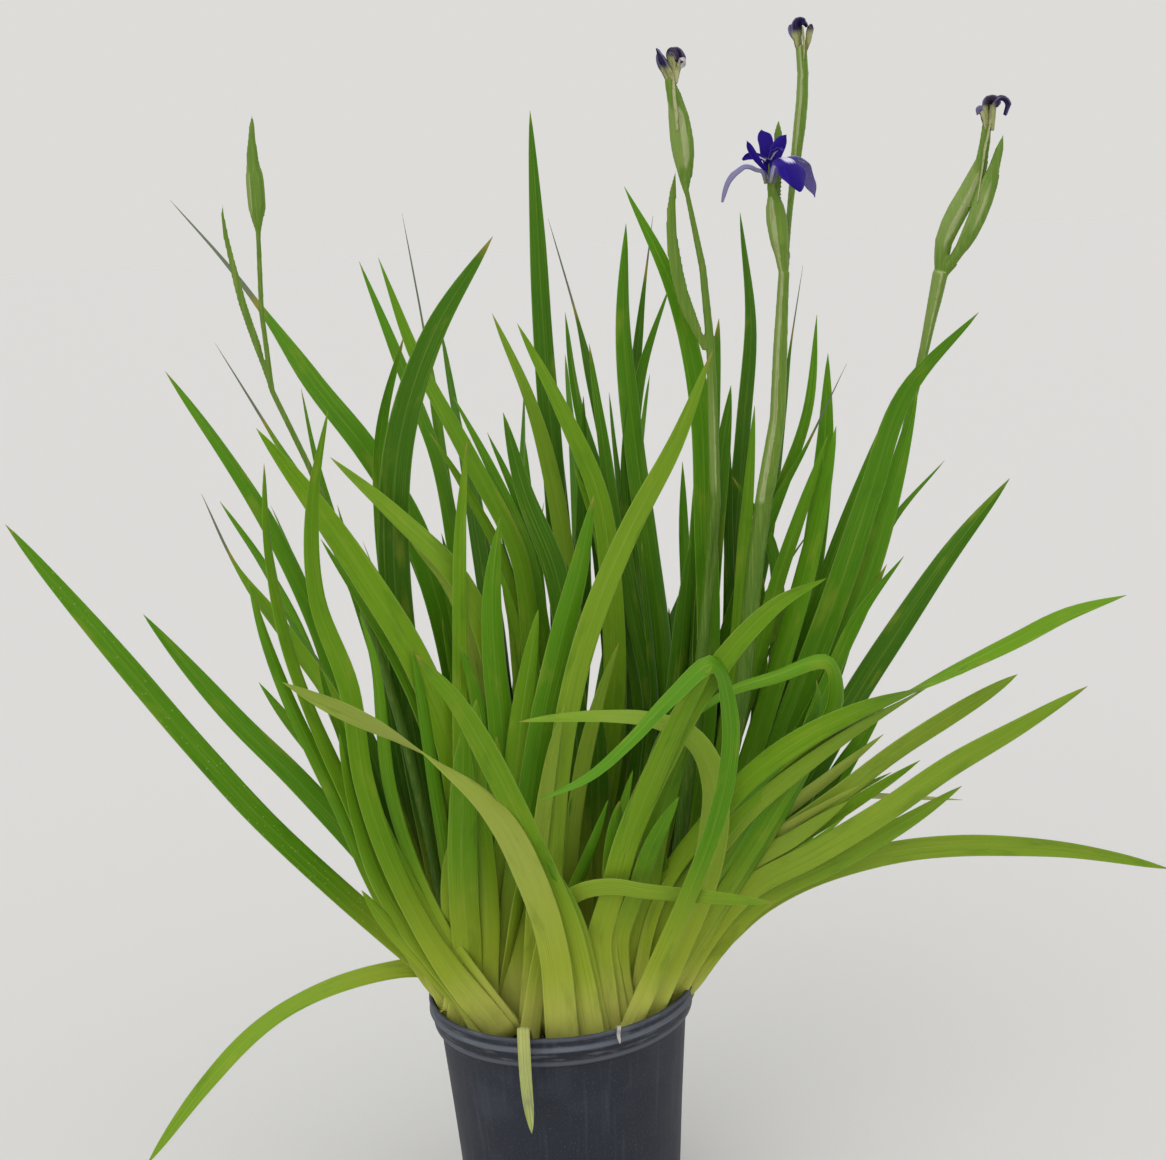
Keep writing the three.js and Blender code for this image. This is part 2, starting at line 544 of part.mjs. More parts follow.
// A fan's foot: where the line of sight through its lowest place meets the soil, or, where
// other leaves hide it, as far forward or back as its tips lean
function footOf({ members }) {
  const place = members[0].path[0];
  const line = sightLine(place);
  const seen = EYE.clone().addScaledVector(line, (LEAF_BASE - EYE.z) / line.z);
  if (place[1] < FRONT_ROW_DOWN) {
    const lean = members.reduce((sum, one) => sum + one.tipDepth, 0) / members.length;
    seen.copy(atDepth(place, lean * FOOT_LEAN)).setZ(LEAF_BASE);
  }
  const leansOut = members.some((one) => {
    const early = atDepth(one.path[2], 0);
    return early.z - LEAF_BASE < LEAN_SLOPE * (Math.abs(early.x) - LEAN_FOOT_LIMIT);
  });
  const reach = Math.hypot(seen.x, seen.y);
  const limit = Math.min(reach, leansOut ? LEAN_FOOT_LIMIT : FOOT_LIMIT);
  return seen.set(seen.x * limit / reach, seen.y * limit / reach, LEAF_BASE);
}

// Feet that would share the same soil move apart, in their order from front to back
const FEET_ROUNDS = 800;
const FOOT_SHARE = 0.4;
const SIDESTEP = 0.2;
const INWARD_SHRINK = 0.995;
const CORNER_PART = 0.7;

function partPair(near, far) {
  const shortX = Math.min(
    near.foot.x + near.right - far.foot.x + far.left,
    far.foot.x + far.right - near.foot.x + near.left,
  );
  const shortY = near.halfThick + far.halfThick - (far.foot.y - near.foot.y);
  if (shortX <= 0 || shortY <= 0) {
    return;
  }
  near.foot.y -= shortY * FOOT_SHARE;
  far.foot.y += shortY * FOOT_SHARE;
  if (shortX < FAN_SLOT) {
    const way = Math.sign(far.foot.x - near.foot.x) * SIDESTEP;
    near.foot.x -= way;
    far.foot.x += way;
  }
}

function keepInPot({ foot, halfWide, limit }) {
  foot.x = clamp(foot.x, halfWide - limit, limit - halfWide);
  const room = Math.sqrt(limit ** 2 - (Math.abs(foot.x) + halfWide * CORNER_PART) ** 2);
  if (Math.abs(foot.y) > room) {
    foot.y = Math.sign(foot.y) * room;
    foot.x *= INWARD_SHRINK;
  }
}

for (let round = 0; round < FEET_ROUNDS; round += 1) {
  inOrder.forEach((near, i) => inOrder.slice(i + 1).forEach((far) => partPair(near, far)));
  inOrder.forEach(keepInPot);
}

// A smooth curve through a leaf's places in the view, from its foot to its tip. Where a path
// has depths of its own, they ride along as a third number too small to change its length.
const CURVE_STEPS = 200;
fans.forEach((fan) => {
  const middle = (fan.members.length - 1) / 2;
  const byTip = [...fan.members].sort((a, b) => a.path.at(-1)[0] - b.path.at(-1)[0]);
  byTip.forEach((one, k) => {
    one.slot = (k - middle) * FAN_SLOT;
    one.foot = fan.foot.clone();
    one.foot.x += one.slot;
    const start = placeInView(one.foot);
    const depths = [one.foot.y, ...(one.depths ?? one.path.map(() => 0)).slice(1)];
    const places = [start, ...one.path.slice(1)];
    const marked = places.map(([x, y], i) => new THREE.Vector3(x, y, depths[i] * DEPTH_MARK));
    one.curve = new THREE.CatmullRomCurve3(marked, false, 'centripetal');
    one.curve.arcLengthDivisions = CURVE_STEPS;
  });
});

const turnAt = (one, s) => {
  const low = mix(LEAF_FOOT_TURN, one.turn[0], smooth(0, LEAF_FOOT_PART, s));
  return mix(low, one.turn[1], smooth(LEAF_FOOT_PART, 1, s)) * DEG;
};
const taperAt = (s) => (1 - s ** LEAF_TAPER_POWER) ** LEAF_TAPER_ROUND;
const bladeThickAt = (s) => mix(
  mix(LEAF_BASE_THICK, LEAF_MIDDLE_THICK, smooth(0, LEAF_FOOT_PART, s)),
  LEAF_TIP_THICK,
  smooth(0.5, 1, s),
);
const stalkWidthAt = (widths, s) => {
  const at = clamp(s, 0, 1) * (widths.length - 1);
  const k = Math.min(Math.floor(at), widths.length - 2);
  return mix(widths[k], widths[k + 1], smooth(0, 1, at - k));
};
const thickAt = (one, s) => (one.isStalk ? stalkWidthAt(one.widths, s) : bladeThickAt(s));
const wideAt = (one, s) => (one.isStalk ? stalkWidthAt(one.widths, s) : one.wide * taperAt(s));

// The depth of a leaf's middle line: from its foot to its tip's depth, then settled
leaves.forEach((one) => {
  one.depth = [];
  for (let k = 0; k <= one.segments; k += 1) {
    const s = k / one.segments;
    const plain = mix(one.foot.y, one.tipDepth, s ** LEAF_LEAN_POWER);
    const marked = one.curve.getPointAt(s).z / DEPTH_MARK;
    one.depth.push(one.depths && k > 0 ? marked : plain);
  }
  one.first = [...one.depth];
});

function lineDepth(line, s) {
  const at = s * (line.length - 1);
  const k = Math.min(Math.floor(at), line.length - 2);
  return mix(line[k], line[k + 1], at - k);
}

// Leaves that cross in the view are laid one behind another, as they lie in the clump.
// The view is parted in cells; in each cell neighbours in depth are pushed apart.
const CELL = 4;
const CELLS_IN_A_ROW = 4096;
const CELL_SIDE_ROOM = 1.5;
const SAMPLES_ALONG = 150;
const SAMPLES_ACROSS = 7;
const SETTLE_ROUNDS = 140;
const SETTLED = 0.05;
const STEP_SHARE = 0.7;
const SMOOTH_SHARE = 0.12;
const HELD_FOOT = 0.12;
const CLASPED_PART = 0.25;
const LEAST_SHARE = 0.3;

function cellsOf(list) {
  const cells = new Map();
  list.forEach((one, index) => {
    for (let i = 0; i <= SAMPLES_ALONG; i += 1) {
      const s = i / SAMPLES_ALONG;
      const at = one.curve.getPointAt(s);
      const along = one.curve.getTangentAt(s);
      const turn = turnAt(one, s);
      const half = wideAt(one, s) / 2;
      for (let j = 0; j < SAMPLES_ACROSS; j += 1) {
        const across = mix(-1, 1, j / (SAMPLES_ACROSS - 1)) * (half + CELL_SIDE_ROOM);
        const step = across * Math.cos(turn) / VIEW_MM_PER_PIXEL;
        const x = at.x - along.y * step;
        const y = at.y + along.x * step;
        const key = Math.floor(x / CELL) * CELLS_IN_A_ROW + Math.floor(y / CELL);
        if (!cells.has(key)) {
          cells.set(key, new Map());
        }
        const here = cells.get(key);
        const offset = across * Math.sin(turn);
        if (here.has(index)) {
          const seen = here.get(index);
          seen.low = Math.min(seen.low, offset);
          seen.high = Math.max(seen.high, offset);
        } else {
          here.set(index, { one, s, low: offset, high: offset, thick: thickAt(one, s) });
        }
      }
    }
  });
  return [...cells.values()].filter((here) => here.size > 1).map((here) => [...here.values()]
    .sort((a, b) => a.one.order - b.one.order));
}

const clasped = (a, b) => a.one.node === b.one.node && Math.max(a.s, b.s) < CLASPED_PART;

function push(line, s, amount) {
  const at = s * (line.length - 1);
  const k = Math.min(Math.floor(at), line.length - 2);
  line[k] = Math.max(line[k], amount * (k + 1 - at > LEAST_SHARE ? 1 : LEAST_SHARE));
  line[k + 1] = Math.max(line[k + 1], amount * (at - k > LEAST_SHARE ? 1 : LEAST_SHARE));
}

// How much nearer than they should be two neighbours are, after noting their pushes
function pushApart(near, far) {
  const nearBack = lineDepth(near.one.depth, near.s) + near.high;
  const gap = lineDepth(far.one.depth, far.s) + far.low - nearBack;
  const short = (near.thick + far.thick) / 2 + LAYER_GAP - gap;
  if (short > 0) {
    push(near.one.forward, near.s, short / 2);
    push(far.one.back, far.s, short / 2);
  }
  return short;
}

function moveOn(one) {
  const offset = one.depth.map((depth, k) => depth - one.first[k]);
  one.depth = offset.map((here, k) => {
    const beside = (offset[Math.max(k - 1, 0)] + offset[Math.min(k + 1, one.segments)]) / 2;
    const move = STEP_SHARE * (one.back[k] - one.forward[k]);
    const held = smooth(0, HELD_FOOT, k / one.segments);
    return one.first[k] + (mix(here, beside, SMOOTH_SHARE) + move) * held;
  });
}

const cells = cellsOf(leaves);
for (let round = 0; round < SETTLE_ROUNDS; round += 1) {
  leaves.forEach((one) => {
    one.forward = one.depth.map(() => 0);
    one.back = one.depth.map(() => 0);
  });
  let worst = 0;
  cells.forEach((layers) => layers.slice(1).forEach((far, k) => {
    if (!clasped(layers[k], far)) {
      worst = Math.max(worst, pushApart(layers[k], far));
    }
  }));
  leaves.forEach(moveOn);
  if (worst < SETTLED) {
    break;
  }
}

// Near the rim a leaf stays inside the wall, or passes over the top of it
function clearOfRim(point, margin) {
  const reach = Math.hypot(point.x, point.y);
  const over = rimTopAt(point.x) + margin;
  const inside = RIM_RADIUS - INSIDE_RIM;
  if (point.z > over || reach < inside || reach > RIM_RADIUS + OUTSIDE_RIM) {
    return point;
  }
  if (point.z > rimTopAt(point.x) - BELOW_RIM || reach > RIM_RADIUS) {
    point.z = over;
  } else {
    point.x *= inside / reach;
    point.y *= inside / reach;
  }
  return point;
}

// A leaf blade: a flat diamond section that narrows to the tip
function makeLeaf(one) {
  const centres = [];
  for (let k = 0; k <= one.segments; k += 1) {
    const at = one.curve.getPointAt(k / one.segments);
    const point = k === 0 ? one.foot.clone() : atDepth([at.x, at.y], one.depth[k]);
    centres.push(one.depths ? point : clearOfRim(point, RIM_MARGIN));
  }
  const line = new THREE.CatmullRomCurve3(centres);
  const rings = [];
  for (let k = 0; k < one.segments; k += 1) {
    const s = k / one.segments;
    const centre = centres[k];
    const along = line.getTangent(s);
    const toEye = EYE.clone().sub(centre).normalize();
    const side = new THREE.Vector3().crossVectors(along, toEye).normalize();
    const face = new THREE.Vector3().crossVectors(side, along).normalize();
    const turn = turnAt(one, s);
    const across = side.clone().multiplyScalar(Math.cos(turn)).addScaledVector(face, -Math.sin(turn));
    const out = new THREE.Vector3().crossVectors(across, along).normalize();
    const half = one.wide / 2 * taperAt(s);
    const thick = bladeThickAt(s) / 2;
    if (k === 0) {
      across.set(1, 0, 0);
      out.set(0, -1, 0);
    }
    rings.push([
      centre.clone().addScaledVector(across, half),
      centre.clone().addScaledVector(out, -thick),
      centre.clone().addScaledVector(across, -half),
      centre.clone().addScaledVector(out, thick),
    ]);
  }
  return skin(rings, centres[one.segments]);
}

// Stalks and their sheaths: oval tubes with a width at each place along the path
function makeStalk(points, widths, { flat = 1, sides = 6, steps = 9, pointed = false, rooted = false }) {
  const line = new THREE.CatmullRomCurve3(points, false, 'centripetal');
  const rings = [];
  const count = pointed ? steps : steps + 1;
  for (let k = 0; k < count; k += 1) {
    const s = k / steps;
    const centre = line.getPointAt(s);
    const along = line.getTangentAt(s);
    const side = new THREE.Vector3().crossVectors(along, new THREE.Vector3(0, -1, 0)).normalize();
    const out = new THREE.Vector3().crossVectors(side, along).normalize();
    const ring = [];
    for (let j = 0; j < sides; j += 1) {
      const angle = j / sides * Math.PI * 2;
      ring.push(centre.clone()
        .addScaledVector(side, stalkWidthAt(widths, s) / 2 * Math.cos(angle))
        .addScaledVector(out, -stalkWidthAt(widths, s) / 2 * flat * Math.sin(angle)));
    }
    if (rooted && k === 0) {
      ring.forEach((point) => point.setZ(LEAF_BASE));
    }
    rings.push(ring);
  }
  return skin(rings, pointed ? line.getPointAt(1) : null);
}

// The main line of a stalk, at the depths it has settled to
function stalkPoints(one) {
  return one.depth.map((depth, k) => {
    const at = one.curve.getPointAt(k / one.segments);
    return k === 0 ? one.foot.clone() : clearOfRim(atDepth([at.x, at.y], depth), STALK_RIM_MARGIN);
  });
}

function makeStalkCore(one) {
  const options = { sides: STALK_SIDES, steps: STALK_SEGMENTS, rooted: true };
  return makeStalk(stalkPoints(one), one.widths, options);
}

const makeOne = (one) => (one.isStalk ? makeStalkCore(one) : makeLeaf(one));

const NEAREST_STEPS = 60;

function nearestOn(one, point) {
  const place = placeInView(point);
  let best = { s: 0, distance: Infinity };
  for (let i = 0; i <= NEAREST_STEPS; i += 1) {
    const at = one.curve.getPointAt(i / NEAREST_STEPS);
    const distance = Math.hypot(at.x - place[0], at.y - place[1]);
    if (distance < best.distance) {
      best = { s: i / NEAREST_STEPS, distance };
    }
  }
  return best.s;
}

// Any that still touch are parted where they touch, the nearer one coming forward
const PARTING_ROUNDS = 90;
const LARGEST_MOVE = 3;
const TOUCH_VOLUME = 1e-4;
const PUSH_SHARE = 0.3;
const LEAST_PUSH = 0.4;
const LARGEST_PUSH = 2.5;
const PUSH_ROOM = 0.2;

const isApart = (a, b) => [0, 1, 2].some((k) => a.min[k] > b.max[k] || b.min[k] > a.max[k]);

function addMove(line, s, amount) {
  const at = s * (line.length - 1);
  line.forEach((_, k) => {
    line[k] += amount * Math.max(0, 1 - Math.abs(k - at) / 2);
  });
}

// Adds the moves that part two leaves, and says in how many places they touch
function partWhereShared(first, second, shared) {
  const spots = shared.decompose().filter((spot) => spot.volume() >= TOUCH_VOLUME);
  spots.forEach((spot) => {
    const { min, max } = spot.boundingBox();
    const middle = new THREE.Vector3(...min).lerp(new THREE.Vector3(...max), 0.5);
    const amount = clamp((max[1] - min[1]) * PUSH_SHARE, LEAST_PUSH, LARGEST_PUSH) + PUSH_ROOM;
    const way = first.one.order < second.one.order ? -1 : 1;
    addMove(first.moves, nearestOn(first.one, middle), way * amount);
    addMove(second.moves, nearestOn(second.one, middle), -way * amount);
  });
  return spots.length;
}

for (let round = 0; round < PARTING_ROUNDS; round += 1) {
  const made = leaves.map((one) => {
    const solid = toSolid(makeOne(one));
    return { one, solid, box: solid.boundingBox(), moves: one.depth.map(() => 0) };
  });
  let touching = 0;
  made.forEach((first, i) => made.slice(i + 1).forEach((second) => {
    if (first.one.node !== second.one.node && !isApart(first.box, second.box)) {
      touching += partWhereShared(first, second, first.solid.intersect(second.solid));
    }
  }));
  if (touching === 0) {
    break;
  }
  made.forEach(({ one, moves }) => {
    one.depth = one.depth.map((depth, k) => depth + (k && clamp(moves[k], -LARGEST_MOVE, LARGEST_MOVE)));
  });
}

const inView = (depth, places) => places.map((place) => atDepth(place, depth));
const depthNear = (one, place) => lineDepth(one.depth, nearestOn(one, atDepth(place, 0)));

const madeLeaves = new Map();
leaves.filter((one) => !one.isStalk).forEach((one) => {
  if (!madeLeaves.has(one.node)) {
    madeLeaves.set(one.node, []);
  }
  madeLeaves.get(one.node).push(makeLeaf(one));
});

let shade = 0;
madeLeaves.forEach((geometries, name) => {
  const geometry = geometries.length > 1 ? joined(geometries) : geometries[0];
  addPiece(name, geometry, LEAF_GREENS[shade % LEAF_GREENS.length]);
  shade += 1;
});

function stalkLine(name) {
  const one = leaves.find((each) => each.node === name);
  stalkTops.set(name, { one, depth: one.depth.at(-1), point: stalkPoints(one).at(-1) });
  return makeStalkCore(one);
}

// Places in the view of what the stalks carry, each line from its foot to its tip
const LEFT_BUD = [[255, 190], [252, 150], [252, 112]];
const LEFT_BRACT = [[270, 387], [257, 345], [243, 305], [232, 262], [223, 220], [223, 192]];
const MIDDLE_SPATHE = [[683, 155], [677, 112], [669, 78]];
const MIDDLE_BRACT = [[706, 350], [684, 300], [674, 255], [671, 215], [676, 168]];
const TALL_BRANCH_FOOT = [[787, 242]];
const TALL_BRANCH = [[792, 188], [798, 140], [803, 81], [801, 46]];
const FLOWER_SPATHE = [[779, 242], [774, 205]];
const FLOWER_BRACT_FOOT = [[776, 200]];
const FLOWER_BRACT = [[777, 160], [779, 113]];
const RIGHT_SPATHE_BEHIND = [[943, 242], [955, 215], [971, 186], [982, 159], [987, 124]];
const RIGHT_SPATHE_FRONT = [[958, 253], [974, 223], [987, 188], [995, 165], [1004, 132]];
const FLOWER_HEART = [769, 168];

const flowerStalk = leaves.find((one) => one.node === 'stem_flower');
const flowerHeart = atDepth(FLOWER_HEART, flowerStalk.depth.at(-1) - HEART_FORWARD);
const aboveHeart = (height) => flowerHeart.clone().add(new THREE.Vector3(0, 0, height));

// A stalk's own solid, with its top and the place below it that what it carries grows from
function stalkTop(name) {
  const one = leaves.find((each) => each.node === name);
  const point = stalkPoints(one).at(-1);
  return { one, main: makeStalkCore(one), depth: one.depth.at(-1), low: point.setZ(point.z - TOP_SINK) };
}

function makeBract(one, places, widths) {
  const line = inView(depthNear(one, places[0]), places);
  return makeStalk(line, widths, { flat: 0.25, sides: 4, pointed: true });
}

function makeLeftBudStalk() {
  const { one, main, depth, low } = stalkTop('stem_left_bud');
  const bud = makeStalk([low, ...inView(depth, LEFT_BUD)],
    [4, 13, 14, 10, 6, 3], { flat: 0.7, pointed: true });
  return joined([main, bud, makeBract(one, LEFT_BRACT, [5, 9, 9, 7, 4])]);
}

function makeMiddleStalk() {
  const { one, main, depth, low } = stalkTop('stem_middle');
  const spathe = makeStalk([low, ...inView(depth, MIDDLE_SPATHE)],
    [4, 13, 18, 17, 12, 8], { flat: 0.6, sides: STALK_SIDES });
  return joined([main, spathe, makeBract(one, MIDDLE_BRACT, [6, 11, 11, 8, 4])]);
}

function makeFlowerStalk() {
  const { main, depth, low } = stalkTop('stem_flower');
  const tallLine = [
    ...inView(depth + 8, TALL_BRANCH_FOOT),
    ...inView(depth + TALL_BRANCH_BACK, TALL_BRANCH),
  ];
  const tall = makeStalk([low, ...tallLine], [7, 5, 5, 6, 9, 10, 9, 9], { sides: STALK_SIDES });
  const spathe = makeStalk([low, ...inView(depth, FLOWER_SPATHE), aboveHeart(-TUBE_DROP)],
    [7, 10, 15, 16, 8, 4], { flat: 0.8, sides: STALK_SIDES });
  const bractLine = [...inView(depth + 4, FLOWER_BRACT_FOOT), ...inView(depth + 12, FLOWER_BRACT)];
  const bract = makeStalk(bractLine, [9, 10, 8, 3], { flat: 0.3, sides: 4, steps: 8, pointed: true });
  const column = makeStalk([aboveHeart(COLUMN_LOW), aboveHeart(COLUMN_HIGH)], [2.4, 1.6], { steps: 2 });
  return joined([main, tall, spathe, bract, column]);
}

function makeRightStalk() {
  const { main, depth, low } = stalkTop('stem_right');
  const behind = makeStalk([low, ...inView(depth, RIGHT_SPATHE_BEHIND)],
    [9, 14, 17, 16, 10, 8], { flat: 0.6, sides: STALK_SIDES });
  const front = makeStalk([low, ...inView(depth - 6, RIGHT_SPATHE_FRONT)],
    [7, 10, 14, 15, 9, 4], { flat: 0.6, sides: STALK_SIDES, pointed: true });
  return joined([main, behind, front]);
}

// A withered bloom: petals rolled into a crumpled knot
function makeSpentBloom(centre, width, height) {
  const geometry = new THREE.IcosahedronGeometry(1, 1);
  geometry.deleteAttribute('normal');
  geometry.deleteAttribute('uv');
  const knot = mergeVertices(geometry, 1e-4);
  const place = knot.attributes.position;
  const size = new THREE.Vector3(width / 2, width * KNOT_DEPTH, height / 2);
  for (let i = 0; i < place.count; i += 1) {
    const p = new THREE.Vector3().fromBufferAttribute(place, i);
    const wave = Math.sin(p.x * 7 + p.z * 3) * Math.cos(p.y * 6 - p.z * 5);
    p.multiply(size).multiplyScalar(1 - KNOT_LUMPS + KNOT_LUMPS * wave).add(centre);
    place.setXYZ(i, p.x, p.y, p.z);
  }
  return knot;
}

// A petal along its own path from the flower's heart, flat across the way it points
function makePetal(azimuth, path, widths) {
  const across = new THREE.Vector3(-Math.sin(azimuth * DEG), Math.cos(azimuth * DEG), 0);
  const points = path.map(([out, up, aside = 0]) => flowerHeart.clone()
    .add(new THREE.Vector3(Math.cos(azimuth * DEG) * out, Math.sin(azimuth * DEG) * out, up))
    .addScaledVector(across, aside));
  const line = new THREE.CatmullRomCurve3(points, false, 'centripetal');
  const rings = [];
  for (let k = 0; k < PETAL_STEPS; k += 1) {
    const s = k / PETAL_STEPS;
    const centre = line.getPointAt(s);
    const along = line.getTangentAt(s);
    const out = new THREE.Vector3().crossVectors(across, along).normalize();
    const at = s * (widths.length - 1);
    const low = Math.min(Math.floor(at), widths.length - 2);
    const half = mix(widths[low], widths[low + 1], at - low) / 2;
    rings.push([
      centre.clone().addScaledVector(across, half),
      centre.clone().addScaledVector(out, -PETAL_THICK / 2),
      centre.clone().addScaledVector(across, -half),
      centre.clone().addScaledVector(out, PETAL_THICK / 2),
    ]);
  }
  return skin(rings, line.getPointAt(1));
}

addPiece('stem_left_bud', makeLeftBudStalk(), STALK_GREEN);
addPiece('stem_middle', makeMiddleStalk(), STALK_GREEN);
addPiece('stem_flower', makeFlowerStalk(), STALK_GREEN);
addPiece('stem_right', makeRightStalk(), STALK_GREEN);

// Each spent bloom: the stalk it heads, how far behind that stalk's top, its place in the view,
// its width and its height
const spentBlooms = {
  spent_bloom_middle: ['stem_middle', 0, [670, 61], 27, 24],
  spent_bloom_tall: ['stem_flower', TALL_BRANCH_BACK, [801, 30], 24, 22],
  spent_bloom_right: ['stem_right', 0, [989, 108], 34, 23],
};

Object.entries(spentBlooms).forEach(([name, [stem, behind, place, width, height]]) => {
  const centre = atDepth(place, stalkTop(stem).depth + behind);
  addPiece(name, makeSpentBloom(centre, width, height), SPENT_GREY);
});

// Widths of the petals from the heart to the tip. Falls arch out and hang, standards rise
// between them, style arms lie over the falls.
const FALL = [2.6, 4, 7, 14, 23, 26, 22, 12];
const BROAD_FALL = FALL.map((width) => width * 1.2);
const STANDARD = [2, 3, 6, 10, 12, 9, 4];
const STYLE = [1.4, 2.4, 3.8, 6, 7, 5];
const NARROW_STANDARD = STANDARD.map((width) => width * 0.45);

// Each petal: the way it points, its path from the heart as steps out and up, and its widths
const petals = {
  fall_left: [180, [[3.6, -2], [8, 0], [17, 4], [23, 2], [31, -5], [35.5, -15], [37, -24]], FALL],
  fall_front: [-54, [[3.6, -2], [9, 5], [17, 7], [25, 3], [31, -7], [34, -19]], BROAD_FALL],
  fall_back: [22, [[3.6, -2], [9, 4], [19, 8], [29, 5], [36, -7], [39, -24]], FALL],
  standard_left: [206, [[2.8, -2], [8, 4], [14, 12], [19, 21]], NARROW_STANDARD],
  standard_back: [108, [[2.8, -2], [5, 11], [8, 21], [12, 29]], STANDARD],
  standard_right: [-3, [[2.8, -2], [6, 11], [10, 19], [14, 24]], STANDARD],
  style_left: [176, [[2, 6], [8, 9], [15, 9.5], [20, 7]], STYLE],
  style_front: [-62, [[2, 6], [8, 11], [14, 13], [20, 12]], STYLE],
  style_back: [52, [[2, 6], [8, 12], [15, 14], [20, 13]], STYLE],
};

Object.entries(petals).forEach(([name, [azimuth, path, widths]]) => {
  addPiece(name, makePetal(azimuth, path, widths), PETAL_VIOLET);
});

export default potted;
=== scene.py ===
"""A blue flag iris in its nursery pot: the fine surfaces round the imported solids."""
import json
import math
import random

import bmesh
import bpy
from bpy.props import FloatProperty, FloatVectorProperty, IntProperty, PointerProperty
from mathutils import Matrix, Vector, noise
from mathutils.bvhtree import BVHTree
from mathutils.kdtree import KDTree


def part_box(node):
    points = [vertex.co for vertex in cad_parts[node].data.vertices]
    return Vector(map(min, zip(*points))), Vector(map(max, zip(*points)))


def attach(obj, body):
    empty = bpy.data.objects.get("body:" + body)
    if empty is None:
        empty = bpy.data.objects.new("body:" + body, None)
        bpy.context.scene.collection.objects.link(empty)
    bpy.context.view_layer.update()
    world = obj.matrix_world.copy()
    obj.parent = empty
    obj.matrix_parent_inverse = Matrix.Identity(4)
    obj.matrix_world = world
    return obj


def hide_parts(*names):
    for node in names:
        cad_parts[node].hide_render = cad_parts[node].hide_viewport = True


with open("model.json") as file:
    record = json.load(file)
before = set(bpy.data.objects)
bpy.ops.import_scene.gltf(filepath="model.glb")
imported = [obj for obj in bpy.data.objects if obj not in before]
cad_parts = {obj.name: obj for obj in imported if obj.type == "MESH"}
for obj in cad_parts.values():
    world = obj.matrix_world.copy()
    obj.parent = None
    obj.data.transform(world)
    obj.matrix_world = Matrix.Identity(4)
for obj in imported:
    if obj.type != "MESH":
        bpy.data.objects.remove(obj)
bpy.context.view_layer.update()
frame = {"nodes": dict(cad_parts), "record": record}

bl_info = {
    "name": "Potted blue flag iris",
    "version": (1, 0, 0),
    "blender": (4, 5, 0),
    "location": "View3D > Sidebar > Iris",
    "description": "Leaves, flower, stalks, pot and potting mix of a blue flag iris",
    "category": "Add Mesh",
}

MM = 0.001
UP = Vector((0, 0, 1))
NODES = frame["nodes"]
SLOT_OF = {part["node"]: part["material_slot"] for part in frame["record"]["subparts"]}
LEAF_NODES = [name for name in NODES if name.startswith(("leaf_", "fan_"))]
STEM_NODES = [name for name in NODES if name.startswith("stem_")]
BLOOM_NODES = [name for name in NODES if name.startswith("spent_")]
PETAL_NODES = [name for name in NODES if name.startswith(("fall_", "standard_", "style_"))]

# Places that everything else is measured from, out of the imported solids
SOIL_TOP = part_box("soil")[1].z
FOOT_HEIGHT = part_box("leaf_centre_left")[0].z
POT_LOW, POT_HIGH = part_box("pot")
RIM_RADIUS = (POT_HIGH.x - POT_LOW.x) / 2
RIM_OVER_MIX = 25 * MM
RIM_HEIGHT = SOIL_TOP + RIM_OVER_MIX
# Corner points that are closer than this are one
WELD = 0.01 * MM


def linear(code):
    """An sRGB hex value as linear red, green, blue and alpha."""
    parts = [int(code[i:i + 2], 16) / 255 for i in (1, 3, 5)]
    return tuple(c / 12.92 if c <= 0.04045 else ((c + 0.055) / 1.055) ** 2.4 for c in parts) + (1.0,)


def colour(name, code, description):
    """A colour property whose default is an sRGB hex value."""
    return FloatVectorProperty(
        name=name, description=description, default=linear(code), size=4, min=0, max=1, subtype="COLOR"
    )


def length(name, default, description):
    """A length property in metres."""
    return FloatProperty(
        name=name, description=description, default=default, min=0, subtype="DISTANCE", unit="LENGTH"
    )


class LeafSettings(bpy.types.PropertyGroup):
    foot: colour("Foot", "#cbca66", "Blanched foot of a blade, where the older leaves shade it")
    low: colour("Low", "#9cab2f", "Blade just above the pot")
    deep: colour("Deep", "#366006", "Blades in full growth")
    fresh: colour("Fresh", "#50840b", "Most blades")
    light: colour("Light", "#6d9414", "Blades that have stood longer")
    yellow: colour("Yellow", "#829c2a", "Older blades")
    faded: colour("Faded", "#a2ad4a", "Blades that have begun to fade")
    stations: IntProperty(name="Stations", description="Sections along a blade", default=56, min=8)
    vein_width: length("Vein width", 0.8 * MM, "Of the fine veins, drawn coarser than the real 0.3 mm")


class FlowerSettings(bpy.types.PropertyGroup):
    violet: colour("Violet", "#1d0574", "Upper side of the falls and the standards")
    lilac: colour("Lilac", "#7466b8", "Margins and undersides")
    signal: colour("Signal", "#e4def0", "Pale veins at the throat")
    ruffle: length("Ruffle", 0.9 * MM, "Height of the waves in a petal's edge")


class PotSettings(bpy.types.PropertyGroup):
    plastic: colour("Plastic", "#191e2b", "Blue-black pot wall")
    scuff: colour("Scuff", "#666a72", "Worn and dusty places")
    sides: IntProperty(name="Sides", description="Sides of the lathe", default=180, min=24)
    crumb: length("Crumb", 4 * MM, "Mean size of the bark crumbs on the mix")


class StageSettings(bpy.types.PropertyGroup):
    floor: colour("Floor", "#cdcbc7", "Pale floor")
    horizon: colour("Horizon", "#dddcd9", "Studio wall at eye height")
    overhead: colour("Overhead", "#eef0f4", "Soft light from above")
    reach: length("Reach", 60.0, "Side of the floor")


def mix(a, b, t):
    return a + (b - a) * t


def clamp(value, low=0.0, high=1.0):
    return max(low, min(high, value))


def smooth(low, high, value):
    """Zero below low, one above high and a soft step between."""
    t = clamp((value - low) / (high - low))
    return t * t * (3 - 2 * t)


